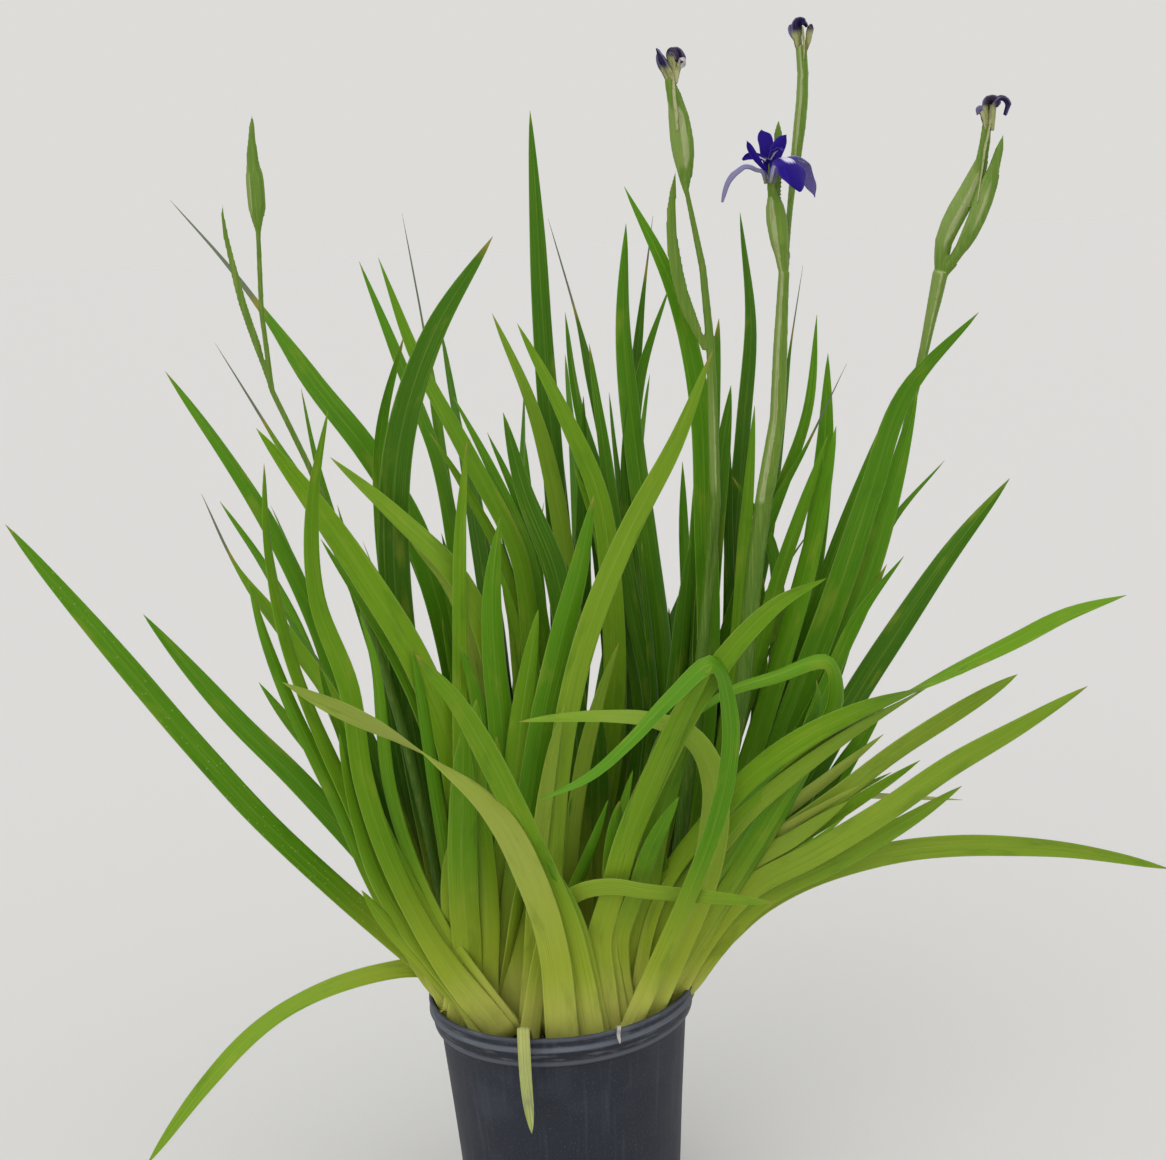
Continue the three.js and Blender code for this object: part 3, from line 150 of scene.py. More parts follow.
def along(points, s):
    """A point on the smooth line through points, s from 0 to 1."""
    at = clamp(s) * (len(points) - 1)
    k = min(int(at), len(points) - 2)
    t = at - k
    b, c = points[k], points[k + 1]
    a = points[k - 1] if k > 0 else b + (b - c)
    d = points[k + 2] if k + 2 < len(points) else c + (c - b)
    return 0.5 * (
        2 * b + (c - a) * t + (2 * a - 5 * b + 4 * c - d) * t ** 2 + (3 * b - a - 3 * c + d) * t ** 3
    )


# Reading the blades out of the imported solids


def welded(node):
    """A node's corner points, each once, and the neighbours of each."""
    mesh = NODES[node].data
    places = {}
    which = [places.setdefault(tuple(round(c / WELD) for c in v.co), len(places)) for v in mesh.vertices]
    points = [None] * len(places)
    for vertex, k in zip(mesh.vertices, which):
        points[k] = vertex.co.copy()
    near = [set() for _ in points]
    for edge in mesh.edges:
        a, b = (which[v] for v in edge.vertices)
        if a != b:
            near[a].add(b)
            near[b].add(a)
    return points, near


def rings_below(tip, near):
    """Rings of four corners, one after the other, from a pointed tip down."""
    seen = {tip} | near[tip]
    rings = [near[tip]]
    while True:
        ring = set().union(*(near[k] for k in rings[-1])) - seen
        if len(ring) != 4:
            return rings
        seen |= ring
        rings.append(ring)


def read_ring(corners, last_across):
    """A ring's middle, the direction across the blade and its width."""
    pairs = [(a, b) for i, a in enumerate(corners) for b in corners[i + 1:]]
    a, b = max(pairs, key=lambda pair: (pair[0] - pair[1]).length)
    across = (b - a).normalized()
    if last_across is not None and across.dot(last_across) < 0:
        across.negate()
    return (a + b) / 2, across, (b - a).length


# How strongly a carried-on middle line ends straight down, as a share of the gap it crosses
FOOT_PULL = 0.6


def carried_on(centres, acrosses, foot):
    """Carries a middle line on to the foot, where other blades hide the rings."""
    last, before = centres[-1], centres[-2]
    step = (last - before).length
    gap = (foot - last).length
    if gap < step / 4:
        return
    more = max(1, round(gap / step))
    start, end = (last - before).normalized() * gap, -UP * gap * FOOT_PULL
    across = acrosses[-1]
    level = Vector((math.copysign(1, across.x), 0, 0))
    for k in range(1, more + 1):
        t = k / more
        centres.append(
            last * (2 * t ** 3 - 3 * t ** 2 + 1)
            + start * (t ** 3 - 2 * t ** 2 + t)
            + foot * (3 * t ** 2 - 2 * t ** 3)
            + end * (t ** 3 - t ** 2)
        )
        acrosses.append(across.lerp(level, t).normalized())


# How late a leaf narrows, and how full it stays towards its point
PACKED_POWER, PACKED_FULLNESS = 2.6, 0.9
SWORD_POWER, BLUNT_POWER, SWORD_FULLNESS = 6.5, 16, 0.85


def packed_taper(s):
    """Share of its full width that a packed leaf has at s."""
    return max(0.0, 1 - s ** PACKED_POWER) ** PACKED_FULLNESS


def sword_taper(s, power):
    """A sword leaf keeps its width for two thirds of its length and then runs to its point."""
    return max(0.0, 1 - s ** power) ** SWORD_FULLNESS


# A shorter blade beside a packed one: shares of that blade's length and width, how far aside in its
# widths, how far behind in mm, its lean as a share of the length and its turn in radians
BESIDE_REACH = (0.42, 0.84)
BESIDE_WIDTH = (0.6, 0.98)
BESIDE_ASIDE = (0.35, 1.0)
BESIDE_BEHIND = (2, 10)
BESIDE_LEAN = 0.055
BESIDE_TURN = 1.2
# Share of that distance aside at which it starts at the foot
BESIDE_FOOT = 0.7
BESIDE_POINTS = 9


class Blade:
    """One blade's middle line, facing and full width, foot first."""

    def __init__(self, centres, acrosses, wide):
        self.centres, self.acrosses, self.wide = centres, acrosses, wide
        self.length = sum((b - a).length for a, b in zip(centres, centres[1:]))

    def at(self, s):
        """Middle point, along, across and out of the face at s."""
        step = 0.004
        middle = along(self.centres, s)
        ahead = along(self.centres, min(1, s + step)) - along(self.centres, max(0, s - step))
        ahead.normalize()
        across = along(self.acrosses, s)
        across = (across - ahead * across.dot(ahead)).normalized()
        return middle, ahead, across, across.cross(ahead)

    def beside(self, chance):
        """A shorter blade of the same fan, which follows this one and parts from it."""
        reach = chance.uniform(*BESIDE_REACH)
        aside = self.wide * chance.choice((-1, 1)) * chance.uniform(*BESIDE_ASIDE)
        behind = Vector((0, chance.uniform(*BESIDE_BEHIND) * MM, 0))
        lean = Vector((chance.uniform(-1, 1), chance.uniform(-1, 1), 0)) * BESIDE_LEAN * self.length
        turn = chance.choice((0, 1)) * chance.uniform(-BESIDE_TURN, BESIDE_TURN)
        spin = Matrix.Rotation(turn, 3, "Z")
        centres, acrosses = [], []
        for k in range(BESIDE_POINTS):
            t = k / (BESIDE_POINTS - 1)
            middle, _, across, _ = self.at(t * reach)
            parting = mix(BESIDE_FOOT, 1, t)
            centres.append(over_rim(middle + across * aside * parting + behind + lean * t ** 2))
            acrosses.append(spin @ across)
        return Blade(centres, acrosses, self.wide * chance.uniform(*BESIDE_WIDTH))


# A shorter blade passes this far over the rim: in full where it is near, not at all where it is far off
OVER_RIM = 7 * MM
RIM_NEAR, RIM_FAR = 10 * MM, 30 * MM


def over_rim(place):
    """Lifts a point that would pass through the mix or the pot's rim."""
    radius = math.hypot(place.x, place.y)
    inside = smooth(RIM_RADIUS - RIM_FAR, RIM_RADIUS - RIM_NEAR, radius)
    outside = smooth(RIM_RADIUS + RIM_FAR, RIM_RADIUS + RIM_NEAR, radius)
    rim = RIM_HEIGHT + place.x * RIM_WARP + OVER_RIM
    least = mix(FOOT_HEIGHT, rim, inside) * outside
    return Vector((place.x, place.y, max(place.z, least)))


# Rings in the last tenth before the tip are too narrow to tell the full width
TIP_UNREAD = 0.1
# What has no more rings than this below it is a corner and no tip
FEWEST_RINGS = 3


def read_blade(tip, rings, foot, taper):
    """The blade below one tip."""
    centres, acrosses, widths = [tip], [], []
    for corners in rings:
        centre, across, width = read_ring(corners, acrosses[-1] if acrosses else None)
        centres.append(centre)
        acrosses.append(across)
        widths.append(width)
    acrosses.insert(0, acrosses[0])
    if foot is not None:
        carried_on(centres, acrosses, foot)
    count = len(centres) - 1
    full = []
    for k, width in enumerate(widths, 1):
        if k / count > TIP_UNREAD:
            full.append(width / taper(1 - k / count))
    if acrosses[len(acrosses) // 2].x < 0:
        acrosses = [-across for across in acrosses]
    return Blade(centres[::-1], acrosses[::-1], sum(full) / len(full))


def read_blades(node, taper=packed_taper):
    """Every blade of a node, in the order of their tips from left to right."""
    points, near = welded(node)
    feet = [p for p in points if abs(p.z - FOOT_HEIGHT) < 5 * WELD]
    tips = [
        k for k, p in enumerate(points)
        if len(near[k]) == 4 and abs(p.z - FOOT_HEIGHT) > MM and len(rings_below(k, near)) > FEWEST_RINGS
    ]
    tips.sort(key=lambda k: points[k].x)
    blades = []
    for order, tip in enumerate(tips):
        rings = [[points[k] for k in ring] for ring in rings_below(tip, near)]
        last = sum(rings[-1], Vector()) / 4
        foot = None
        if feet and abs(last.z - FOOT_HEIGHT) > MM:
            low, high = min(p.x for p in feet), max(p.x for p in feet)
            share = (order + 0.5) / len(tips)
            foot = Vector((mix(low, high, share), sum(p.y for p in feet) / len(feet), FOOT_HEIGHT))
        blades.append(read_blade(points[tip], rings, foot, taper))
    return blades


# Making meshes


class Build:
    """Vertices, faces and named vector attributes of one mesh in the making."""

    def __init__(self):
        self.points, self.faces, self.marks = [], [], {}

    def point(self, place, **marks):
        for name, mark in marks.items():
            self.marks.setdefault(name, []).append(mark)
        self.points.append(place)
        return len(self.points) - 1

    def tube(self, rings):
        """Faces between rings of vertex numbers, with a cap at each end."""
        sides = len(rings[0])
        for low, high in zip(rings, rings[1:]):
            for k in range(sides):
                j = (k + 1) % sides
                self.faces.append((low[k], low[j], high[j], high[k]))
        self.faces.append(tuple(reversed(rings[0])))
        self.faces.append(tuple(rings[-1]))

    def sheet(self, rows):
        """A thin closed sheet from rows of cells, each a place, half the thickness there and its marks."""
        rings = []
        for row in rows:
            ring = []
            for side, cells in ((1, row), (-1, row[-2:0:-1])):
                for place, offset, marks in cells:
                    ring.append(self.point(place + offset * side, face=(float(side), 0.0, 0.0), **marks))
            rings.append(ring)
        self.tube(rings)

    def object(self, name, material, smooth_faces=True):
        mesh = bpy.data.meshes.new(name)
        mesh.from_pydata(self.points, [], self.faces)
        for mark, values in self.marks.items():
            layer = mesh.attributes.new(mark, "FLOAT_VECTOR", "POINT")
            layer.data.foreach_set("vector", [c for value in values for c in value])
        mesh.materials.append(material)
        if smooth_faces:
            mesh.shade_smooth()
        mesh.update()
        made = bpy.data.objects.new(name, mesh)
        bpy.context.scene.collection.objects.link(made)
        return made


def settle_in(piece, slot, *nodes):
    """Says what the piece rides on and which nodes it stands for; slot is not used."""
    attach(piece, "root")
    if nodes:
        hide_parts(*nodes)


# Materials


def add(tree, kind, inputs=None, out=0, **settings):
    """Adds a node, sets it, fills its inputs from values or other outputs, and gives one output."""
    node = tree.nodes.new(kind)
    for key, value in settings.items():
        setattr(node, key, value)
    for key, value in (inputs or {}).items():
        if isinstance(value, bpy.types.NodeSocket):
            tree.links.new(value, node.inputs[key])
        else:
            node.inputs[key].default_value = value
    return node.outputs[out]


def coats(tree, base, *layers):
    """Tints laid over a base: each has a mask, where it starts and is full, its strength and its colour."""
    for mask, start, full, strength, tint in layers:
        step = {"Value": mask, "From Min": start, "From Max": full, "To Max": strength}
        shown = add(tree, "ShaderNodeMapRange", step, interpolation_type="SMOOTHSTEP")
        base = add(tree, "ShaderNodeMix", {0: shown, 6: base, 7: tint}, out=2, data_type="RGBA")
    return base


def grain(tree, place, wide, tall, detail=3.0):
    """Marks drawn out along a piece: wide and tall are their real size in mm."""
    scaled = add(tree, "ShaderNodeVectorMath", {0: place, 1: (1 / wide, 1 / tall, 1)}, operation="MULTIPLY")
    return add(tree, "ShaderNodeTexNoise", {"Vector": scaled, "Scale": 1.0, "Detail": detail})


def marks_of(tree, name):
    """A named vector attribute and its three parts."""
    whole = add(tree, "ShaderNodeAttribute", out="Vector", attribute_name=name)
    parts = [add(tree, "ShaderNodeSeparateXYZ", {0: whole}, out=k) for k in range(3)]
    return whole, parts


def new_material(name, **constants):
    """A material and its shader, whose constant values are set on its own sockets."""
    material = bpy.data.materials.new(name)
    material.use_nodes = True
    tree = material.node_tree
    shader = tree.nodes["Principled BSDF"]
    for key, value in constants.items():
        shader.inputs[key.replace("_", " ")].default_value = value
    return material, tree, shader


BUMP_STRENGTH = 0.8


def finish_with(tree, shader, base, relief, depth):
    """Joins the colour and a relief of some depth to the shader."""
    bump = add(tree, "ShaderNodeBump", {"Height": relief, "Distance": depth, "Strength": BUMP_STRENGTH})
    tree.links.new(base, shader.inputs["Base Color"])
    tree.links.new(bump, shader.inputs["Normal"])


SPECKS_PER_MM = 0.22


def leaf_cuticle(settings):
    """Waxy cuticle over parallel veins: satin, finely ribbed, yellow and blanched towards the foot."""
    material, tree, shader = new_material(
        "waxy iris leaf", Roughness=0.5, IOR=1.45, Specular_IOR_Level=0.18,
        Subsurface_Weight=0.08, Subsurface_Radius=(0.5, 1.0, 0.15), Subsurface_Scale=2 * MM,
    )
    _, (s, u, tone) = marks_of(tree, "blade")
    place, (_, y, _) = marks_of(tree, "blade_mm")
    _, (wear, specked, _) = marks_of(tree, "blade_wear")
    edge = add(tree, "ShaderNodeMath", {0: u}, operation="ABSOLUTE")
    veins = grain(tree, place, settings.vein_width / MM, 120)
    patches = grain(tree, place, 14, 55)
    speck = add(tree, "ShaderNodeTexVoronoi", {"Vector": place, "Scale": SPECKS_PER_MM}, out="Distance")
    spotted = add(tree, "ShaderNodeMath", {0: speck, 1: specked}, operation="DIVIDE")
    base = coats(
        tree, settings.deep,
        (tone, 0.0, 0.3, 1.0, settings.fresh),
        (tone, 0.3, 0.6, 1.0, settings.light),
        (tone, 0.6, 0.82, 1.0, settings.yellow),
        (tone, 0.82, 1.0, 1.0, settings.faded),
        (s, 0.45, 1.0, 0.25, settings.fresh),
        (y, 200, 55, 0.85, settings.low),
        (y, 80, 10, 0.85, settings.foot),
        (veins, 0.52, 0.75, 0.22, linear("#a9bb4c")),
        (veins, 0.46, 0.28, 0.25, linear("#2f5a0a")),
        (patches, 0.55, 0.75, 0.3, linear("#9aa032")),
        (patches, 0.45, 0.28, 0.25, linear("#2d5c0a")),
        (edge, 0.9, 1.0, 0.3, linear("#b4c46c")),
        (edge, 0.1, 0.0, 0.12, linear("#a9bb5a")),
        (spotted, 0.16, 0.08, 0.35, linear("#c6cf98")),
        (wear, 0.0, 0.5, 0.9, linear("#8a8034")),
        (wear, 0.5, 1.0, 0.9, linear("#65705f")),
    )
    finish_with(tree, shader, base, veins, 0.3 * MM)
    return material


def dry_blade():
    """A withered blade: straw and grey, matt, with its veins standing out."""
    material, tree, shader = new_material("withered iris leaf", Roughness=0.8, Specular_IOR_Level=0.2)
    place, (_, y, _) = marks_of(tree, "blade_mm")
    veins = grain(tree, place, 0.8, 90)
    patches = grain(tree, place, 8, 30)
    base = coats(
        tree, linear("#8d9a4c"),
        (veins, 0.3, 0.7, 0.8, linear("#c6cb88")),
        (patches, 0.5, 0.7, 0.6, linear("#86866a")),
        (y, 120, 20, 0.5, linear("#a9a860")),
    )
    finish_with(tree, shader, base, veins, 0.4 * MM)
    return material


# Steps of the noise to the mm: across a stalk, from its front to its back and up
STRIPES_PER_MM = (0.7, 0.7, 0.02)
BLOTCHES_PER_MM = (0.2, 0.2, 0.06)


def stalk_skin():
    """A fleshy round stalk with a thin bloom of wax: satin, softly striped, papery where bracts end."""
    material, tree, shader = new_material("waxy iris stalk", Roughness=0.5, Specular_IOR_Level=0.35)
    _, (girth, height, side) = marks_of(tree, "stalk")
    place = add(tree, "ShaderNodeTexCoord", out="Object")
    real = add(tree, "ShaderNodeVectorMath", {0: place, 1: (1 / MM, 1 / MM, 1 / MM)}, operation="MULTIPLY")
    thin = add(tree, "ShaderNodeVectorMath", {0: real, 1: STRIPES_PER_MM}, operation="MULTIPLY")
    stripes = add(tree, "ShaderNodeTexNoise", {"Vector": thin, "Scale": 1.0, "Detail": 3.0})
    blotch = add(tree, "ShaderNodeVectorMath", {0: real, 1: BLOTCHES_PER_MM}, operation="MULTIPLY")
    clouds = add(tree, "ShaderNodeTexNoise", {"Vector": blotch, "Scale": 1.0, "Detail": 4.0})
    away = add(tree, "ShaderNodeMath", {0: side}, operation="ABSOLUTE")
    margin = add(tree, "ShaderNodeMapRange", {"Value": away, "From Min": 0.3, "From Max": 0.05})
    wide = add(tree, "ShaderNodeMapRange", {"Value": girth, "From Min": 6.5, "From Max": 8.5})
    papery = add(tree, "ShaderNodeMath", {0: margin, 1: wide}, operation="MULTIPLY")
    streaked = add(tree, "ShaderNodeMath", {0: papery, 1: clouds}, operation="MULTIPLY")
    inward = add(tree, "ShaderNodeMapRange", {"Value": side, "From Min": 0.0, "From Max": -0.25})
    inner = add(tree, "ShaderNodeMath", {0: inward, 1: wide}, operation="MULTIPLY")
    base = coats(
        tree, linear("#466a10"),
        (height, 0.2, 0.8, 1.0, linear("#5c7c1c")),
        (girth, 8, 12, 0.6, linear("#658420")),
        (stripes, 0.5, 0.7, 0.25, linear("#94a850")),
        (stripes, 0.45, 0.3, 0.3, linear("#3c6212")),
        (clouds, 0.55, 0.72, 0.3, linear("#828638")),
        (inner, 0.1, 0.9, 0.35, linear("#93a65c")),
        (papery, 0.2, 0.9, 0.6, linear("#b4ba88")),
        (streaked, 0.45, 0.6, 0.4, linear("#7a6e40")),
    )
    finish_with(tree, shader, base, stripes, 0.25 * MM)
    return material


def petal_skin(settings):
    """A petal's velvety cells: soft sheen, deep violet above, lilac below and at the margin."""
    material, tree, shader = new_material(
        "velvety iris petal", Roughness=0.65, Sheen_Weight=0.03, Sheen_Roughness=0.5,
        Specular_IOR_Level=0.12,
    )
    _, (s, u, throat) = marks_of(tree, "petal")
    place, _ = marks_of(tree, "petal_mm")
    _, (side, _, _) = marks_of(tree, "face")
    _, (below, pale, _) = marks_of(tree, "petal_tint")
    edge = add(tree, "ShaderNodeMath", {0: u}, operation="ABSOLUTE")
    under = add(tree, "ShaderNodeMath", {0: side, 1: below}, operation="MULTIPLY")
    veins = grain(tree, place, 0.9, 30)
    patches = grain(tree, place, 7, 11)
    crest = add(tree, "ShaderNodeMath", {0: throat, 1: veins}, operation="MULTIPLY")
    base = coats(
        tree, settings.violet,
        (veins, 0.5, 0.7, 0.35, linear("#3a16a4")),
        (patches, 0.5, 0.75, 0.3, linear("#30109c")),
        (veins, 0.45, 0.3, 0.4, linear("#130350")),
        (edge, 0.9, 1.0, 0.45, settings.lilac),
        (under, -0.1, -0.6, 0.85, settings.lilac),
        (pale, 0.0, 1.0, 0.85, linear("#8b87a4")),
        (crest, 0.3, 0.5, 0.9, settings.signal),
        (s, 0.12, 0.0, 0.6, linear("#7c8a3c")),
    )
    finish_with(tree, shader, base, veins, 0.3 * MM)
    return material


def withered_petal():
    """A spent bloom: petals dried to crumpled tissue, grey-violet and off-white."""
    material, tree, shader = new_material("withered iris petal", Roughness=0.85, Specular_IOR_Level=0.2)
    _, (s, u, tone) = marks_of(tree, "blade")
    place, _ = marks_of(tree, "blade_mm")
    streaks = grain(tree, place, 1.6, 14, 2)
    patches = grain(tree, place, 5, 8, 2)
    dots = grain(tree, place, 2.4, 5, 1)
    edge = add(tree, "ShaderNodeMath", {0: u}, operation="ABSOLUTE")
    foot = add(tree, "ShaderNodeMapRange", {"Value": s, "From Min": 0.5, "From Max": 0.25})
    tube = add(tree, "ShaderNodeMapRange", {"Value": tone, "From Min": 1.2, "From Max": 1.8})
    papery = add(tree, "ShaderNodeMath", {0: foot, 1: tube}, operation="MAXIMUM")
    dotted = add(tree, "ShaderNodeMath", {0: papery, 1: dots}, operation="MULTIPLY")
    base = coats(
        tree, linear("#1d1540"),
        (tone, 0.1, 0.35, 0.8, linear("#382c36")),
        (tone, 0.4, 0.65, 0.8, linear("#77709a")),
        (tone, 0.7, 1.0, 0.9, linear("#c4bfb8")),
        (streaks, 0.5, 0.68, 0.35, linear("#5d5678")),
        (patches, 0.5, 0.3, 0.4, linear("#191424")),
        (edge, 0.75, 1.0, 0.6, linear("#9892ae")),
        (papery, 0.1, 0.9, 0.85, linear("#a9ab70")),
        (dotted, 0.54, 0.7, 0.5, linear("#6f6234")),
    )
    finish_with(tree, shader, base, streaks, 0.5 * MM)
    return material


# Heights in mm between which the scuffs of the rim's band set in
SCUFFS_FROM, SCUFFS_FULL = 186.0, 194.0
# Painted highlights along the beads of the rim's band and a painted shadow in its groove: how far below the
# top in mm, and their colour
RIM_PAINTED_LIGHT = ((10.5, "#7d828c"), (23.5, "#6f747e"), (17.5, "#12151b"), (1.5, "#5d626c"))


def pot_plastic(settings):
    """Moulded HDPE, dusty from the bench: blue-black, dull, with pale scuffs on the bands, and painted
    highlights and a painted shadow along the rim.
    """
    material, tree, shader = new_material("moulded HDPE", IOR=1.54, Specular_IOR_Level=0.4)
    place, (_, height, inner) = marks_of(tree, "pot")
    streaks = grain(tree, place, 7, 90, 4)
    clouds = grain(tree, place, 55, 45, 4)
    rubs = grain(tree, place, 24, 3, 4)
    fine = grain(tree, place, 1.6, 2.4, 4)
    rise = {"Value": height, "From Min": SCUFFS_FROM, "From Max": SCUFFS_FULL}
    band = add(tree, "ShaderNodeMapRange", rise)
    worn = add(tree, "ShaderNodeMath", {0: rubs, 1: band}, operation="MULTIPLY")
    lines = []
    # Painted highlights on the beads and a painted shadow in the groove, as lines round the band
    for below, tint in RIM_PAINTED_LIGHT:
        off = add(tree, "ShaderNodeMath", {0: height, 1: RIM_HEIGHT / MM - below}, operation="SUBTRACT")
        gap = add(tree, "ShaderNodeMath", {0: off}, operation="ABSOLUTE")
        lines.append((gap, 3.6, 0.8, 0.42, linear(tint)))
    base = coats(
        tree, settings.plastic,
        (streaks, 0.5, 0.75, 0.22, linear("#4e545f")),
        (clouds, 0.48, 0.72, 0.35, linear("#3a404b")),
        (fine, 0.58, 0.7, 0.25, linear("#5c6068")),
        *lines,
        (worn, 0.5, 0.66, 0.45, settings.scuff),
        (rubs, 0.4, 0.28, 0.4, linear("#191d26")),
        (inner, 0.4, 0.6, 0.8, linear("#1d1f22")),
    )
    dull = add(tree, "ShaderNodeMapRange", {"Value": clouds, "To Min": 0.5, "To Max": 0.78})
    tree.links.new(dull, shader.inputs["Roughness"])
    relief = add(tree, "ShaderNodeMath", {0: rubs, 1: fine}, operation="ADD")
    finish_with(tree, shader, base, relief, 0.2 * MM)
    return material


def potting_mix():
    """Peat and composted bark: dark, crumbly and dull."""
    material, tree, shader = new_material("peat and bark mix", Roughness=0.95, Specular_IOR_Level=0.2)
    place = add(tree, "ShaderNodeTexCoord", out="Object")
    grains = add(tree, "ShaderNodeTexNoise", {"Vector": place, "Scale": 1 / (4 * MM), "Detail": 6.0})
    base = coats(tree, linear("#1f1710"), (grains, 0.35, 0.65, 1.0, linear("#5b4733")))
    finish_with(tree, shader, base, grains, 1.5 * MM)
    return material


def painted_floor(settings):
    """Matt painted board: pale and even, with the tooth of a roller."""
    material, tree, shader = new_material("matt painted board", Roughness=0.95, Specular_IOR_Level=0.1)
    place = add(tree, "ShaderNodeTexCoord", out="Object")
    tooth = add(tree, "ShaderNodeTexNoise", {"Vector": place, "Scale": 1 / (3 * MM), "Detail": 2.0})
    base = coats(tree, settings.floor, (tooth, 0.3, 0.7, 0.05, linear("#b9b7b2")))
    finish_with(tree, shader, base, tooth, 0.05 * MM)
    return material


# Leaves

BLADE_COLUMNS = (-1, -0.93, -0.78, -0.55, -0.3, -0.12, 0, 0.12, 0.3, 0.55, 0.78, 0.93, 1)
BESIDE_COLUMNS = (-1, -0.85, -0.45, 0, 0.45, 0.85, 1)
BESIDE_STATIONS = 34
FOOT_THICK, MIDDLE_THICK, TIP_THICK = 4.2 * MM, 1.9 * MM, 0.7 * MM
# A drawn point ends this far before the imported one, and no half width is less than this
TIP_SHORT, LEAST_HALF = 0.4 * MM, 0.15 * MM
# Width at the foot over the full width, in a fan and alone, and the share of the length it fades over
FAN_FOOT, LEAF_FOOT, FOOT_REACH = 1.4, 1.15, 0.24
# Below the first share of its length a blade is held flat by its fan, above the second it is loose
LOOSE_FROM, LOOSE_FULL = 0.15, 0.5
# A loose blade's cupping in half widths, the square of the place where it crosses the flat one, its twist
# in degrees and the half waves of that twist along it
CUP, CUP_LEVEL = 0.28, 0.35
TWIST, TWIST_TURNS = 9, (1.2, 3.0)
# Ripple of the edges: its height, its length to the radian, and the half width below which it dies away
RIPPLE, RIPPLE_LENGTH, RIPPLE_FADES = 0.5 * MM, 22 * MM, 3 * MM
# The midrib's share of the thickness, and how broad it is in half widths of the blade
MIDRIB, MIDRIB_HALF = 0.2, 0.1

# Tone of a node's blades, 0 deep green to 1 faded, where it differs from the rest
MEAN_TONE = 0.45
TONES = {
    "leaf_far_left": 0.3, "leaf_left_long": 0.3, "leaf_left_dark": 0.0, "leaf_left_arching": 0.6,
    "leaf_left_droop": 0.72, "leaf_long_crossing": 0.6, "leaf_centre_tall": 0.12, "leaf_centre_left": 0.2,
    "leaf_centre_right": 0.25, "leaf_light_crossing": 0.7, "leaf_front_bent": 0.35, "leaf_front_low": 0.75,
    "leaf_front_hanging": 0.8, "leaf_front_twisting": 0.6, "leaf_front_curl": 0.72,
    "leaf_front_green": 0.55, "leaf_pale_front": 0.92, "leaf_right_long": 0.08,
    "leaf_right_arch_high": 0.5, "leaf_right_low_arch": 0.78, "leaf_right_bent": 0.5,
    "fan_back_left": 0.22, "fan_back_right": 0.2, "fan_centre": 0.35, "fan_centre_back": 0.25,
    "fan_centre_pale": 0.8, "fan_centre_right": 0.25, "fan_left_diagonal": 0.6, "fan_left_far": 0.5,
    "fan_left_front": 0.6, "fan_right_broad": 0.35, "fan_right_lean": 0.3, "fan_right_low": 0.76,
    "fan_right_tall": 0.3,
}
TONE_SPREAD = 0.13
# Painted shade: blades at the back of the clump are painted this much deeper in tone, in full from this far
# behind the middle
BACK_PAINTED_SHADE, BACK_FULL = 0.15, 60 * MM

# Thin withered points: node and order from the left, and where on the blade they start
WITHERED = {
    ("leaf_left_arching", 0): 0.84, ("fan_left_outer", 0): 0.88, ("fan_left_far", 1): 0.86,
    ("fan_left_back", 2): 0.84, ("fan_centre_back", 0): 0.87, ("fan_right_mid", 3): 0.87,
    ("fan_right_tall", 2): 0.9, ("fan_centre_right", 0): 0.92,
}
POINT_SHARE = 0.35
# All other blades wither somewhere near their tip, or not at all
WITHER_FROM = (0.975, 1.02)
BLUNT = ("fan_right_low", 2)
SPECKED = ("leaf_far_left",)
# Stands for no specks: the mask is divided by it, so it is more than nothing
UNSPECKED = 0.001

# Leaves with no shorter blades beside them: they cross the rim low or stand alone
ALONE = (
    "leaf_left_droop", "leaf_front_hanging", "leaf_right_low_arch", "leaf_front_low", "leaf_right_dry",
    "leaf_far_left", "leaf_pale_front", "leaf_front_curl",
)
# How many shorter blades a packed one gets, and how their tone differs from its own
SHORTER_COUNTS = (1, 2, 2, 3)
SHORTER_TONES = (-0.25, 0.2)
# Share of the shorter blades that have died back, and how withered those are
DEAD_SHARE, DEAD_WEAR = 0.01, (0.25, 0.5)
# Front leaves that no shorter blade may pass through, and how far off it stays above its foot
KEPT_CLEAR = ("leaf_pale_front", "leaf_front_curl", "leaf_front_low", "leaf_front_hanging")
CLEARANCE = 11 * MM
CLEAR_FROM = 0.35
CLEAR_SAMPLES = 60
# Blades read the noise of their veins and patches at this many places
NOISE_PLACES = 97


class Look:
    """How one blade differs from the next."""

    def __init__(
        self, tone, seed, wither=None, thin=False, blunt=False, dead=0.0, specked=UNSPECKED, foot=FAN_FOOT
    ):
        self.chance = random.Random(seed)
        self.tone, self.place = tone, float(seed % NOISE_PLACES)
        self.wither = wither or self.chance.uniform(*WITHER_FROM)
        self.thin, self.dead, self.specked, self.foot = thin, dead, specked, foot
        self.power = BLUNT_POWER if blunt else SWORD_POWER

    def width(self, s):
        """Share of the full width at s."""
        point = mix(1, POINT_SHARE, smooth(self.wither - 0.1, self.wither + 0.02, s)) if self.thin else 1
        return sword_taper(s, self.power) * point * mix(self.foot, 1, smooth(0, FOOT_REACH, s))

    def wear(self, s):
        """How withered the blade is at s, from 0 to 1."""
        most = 1.0 if self.thin else 0.6
        return max(self.dead, most * smooth(self.wither - 0.02, self.wither + 0.03, s))


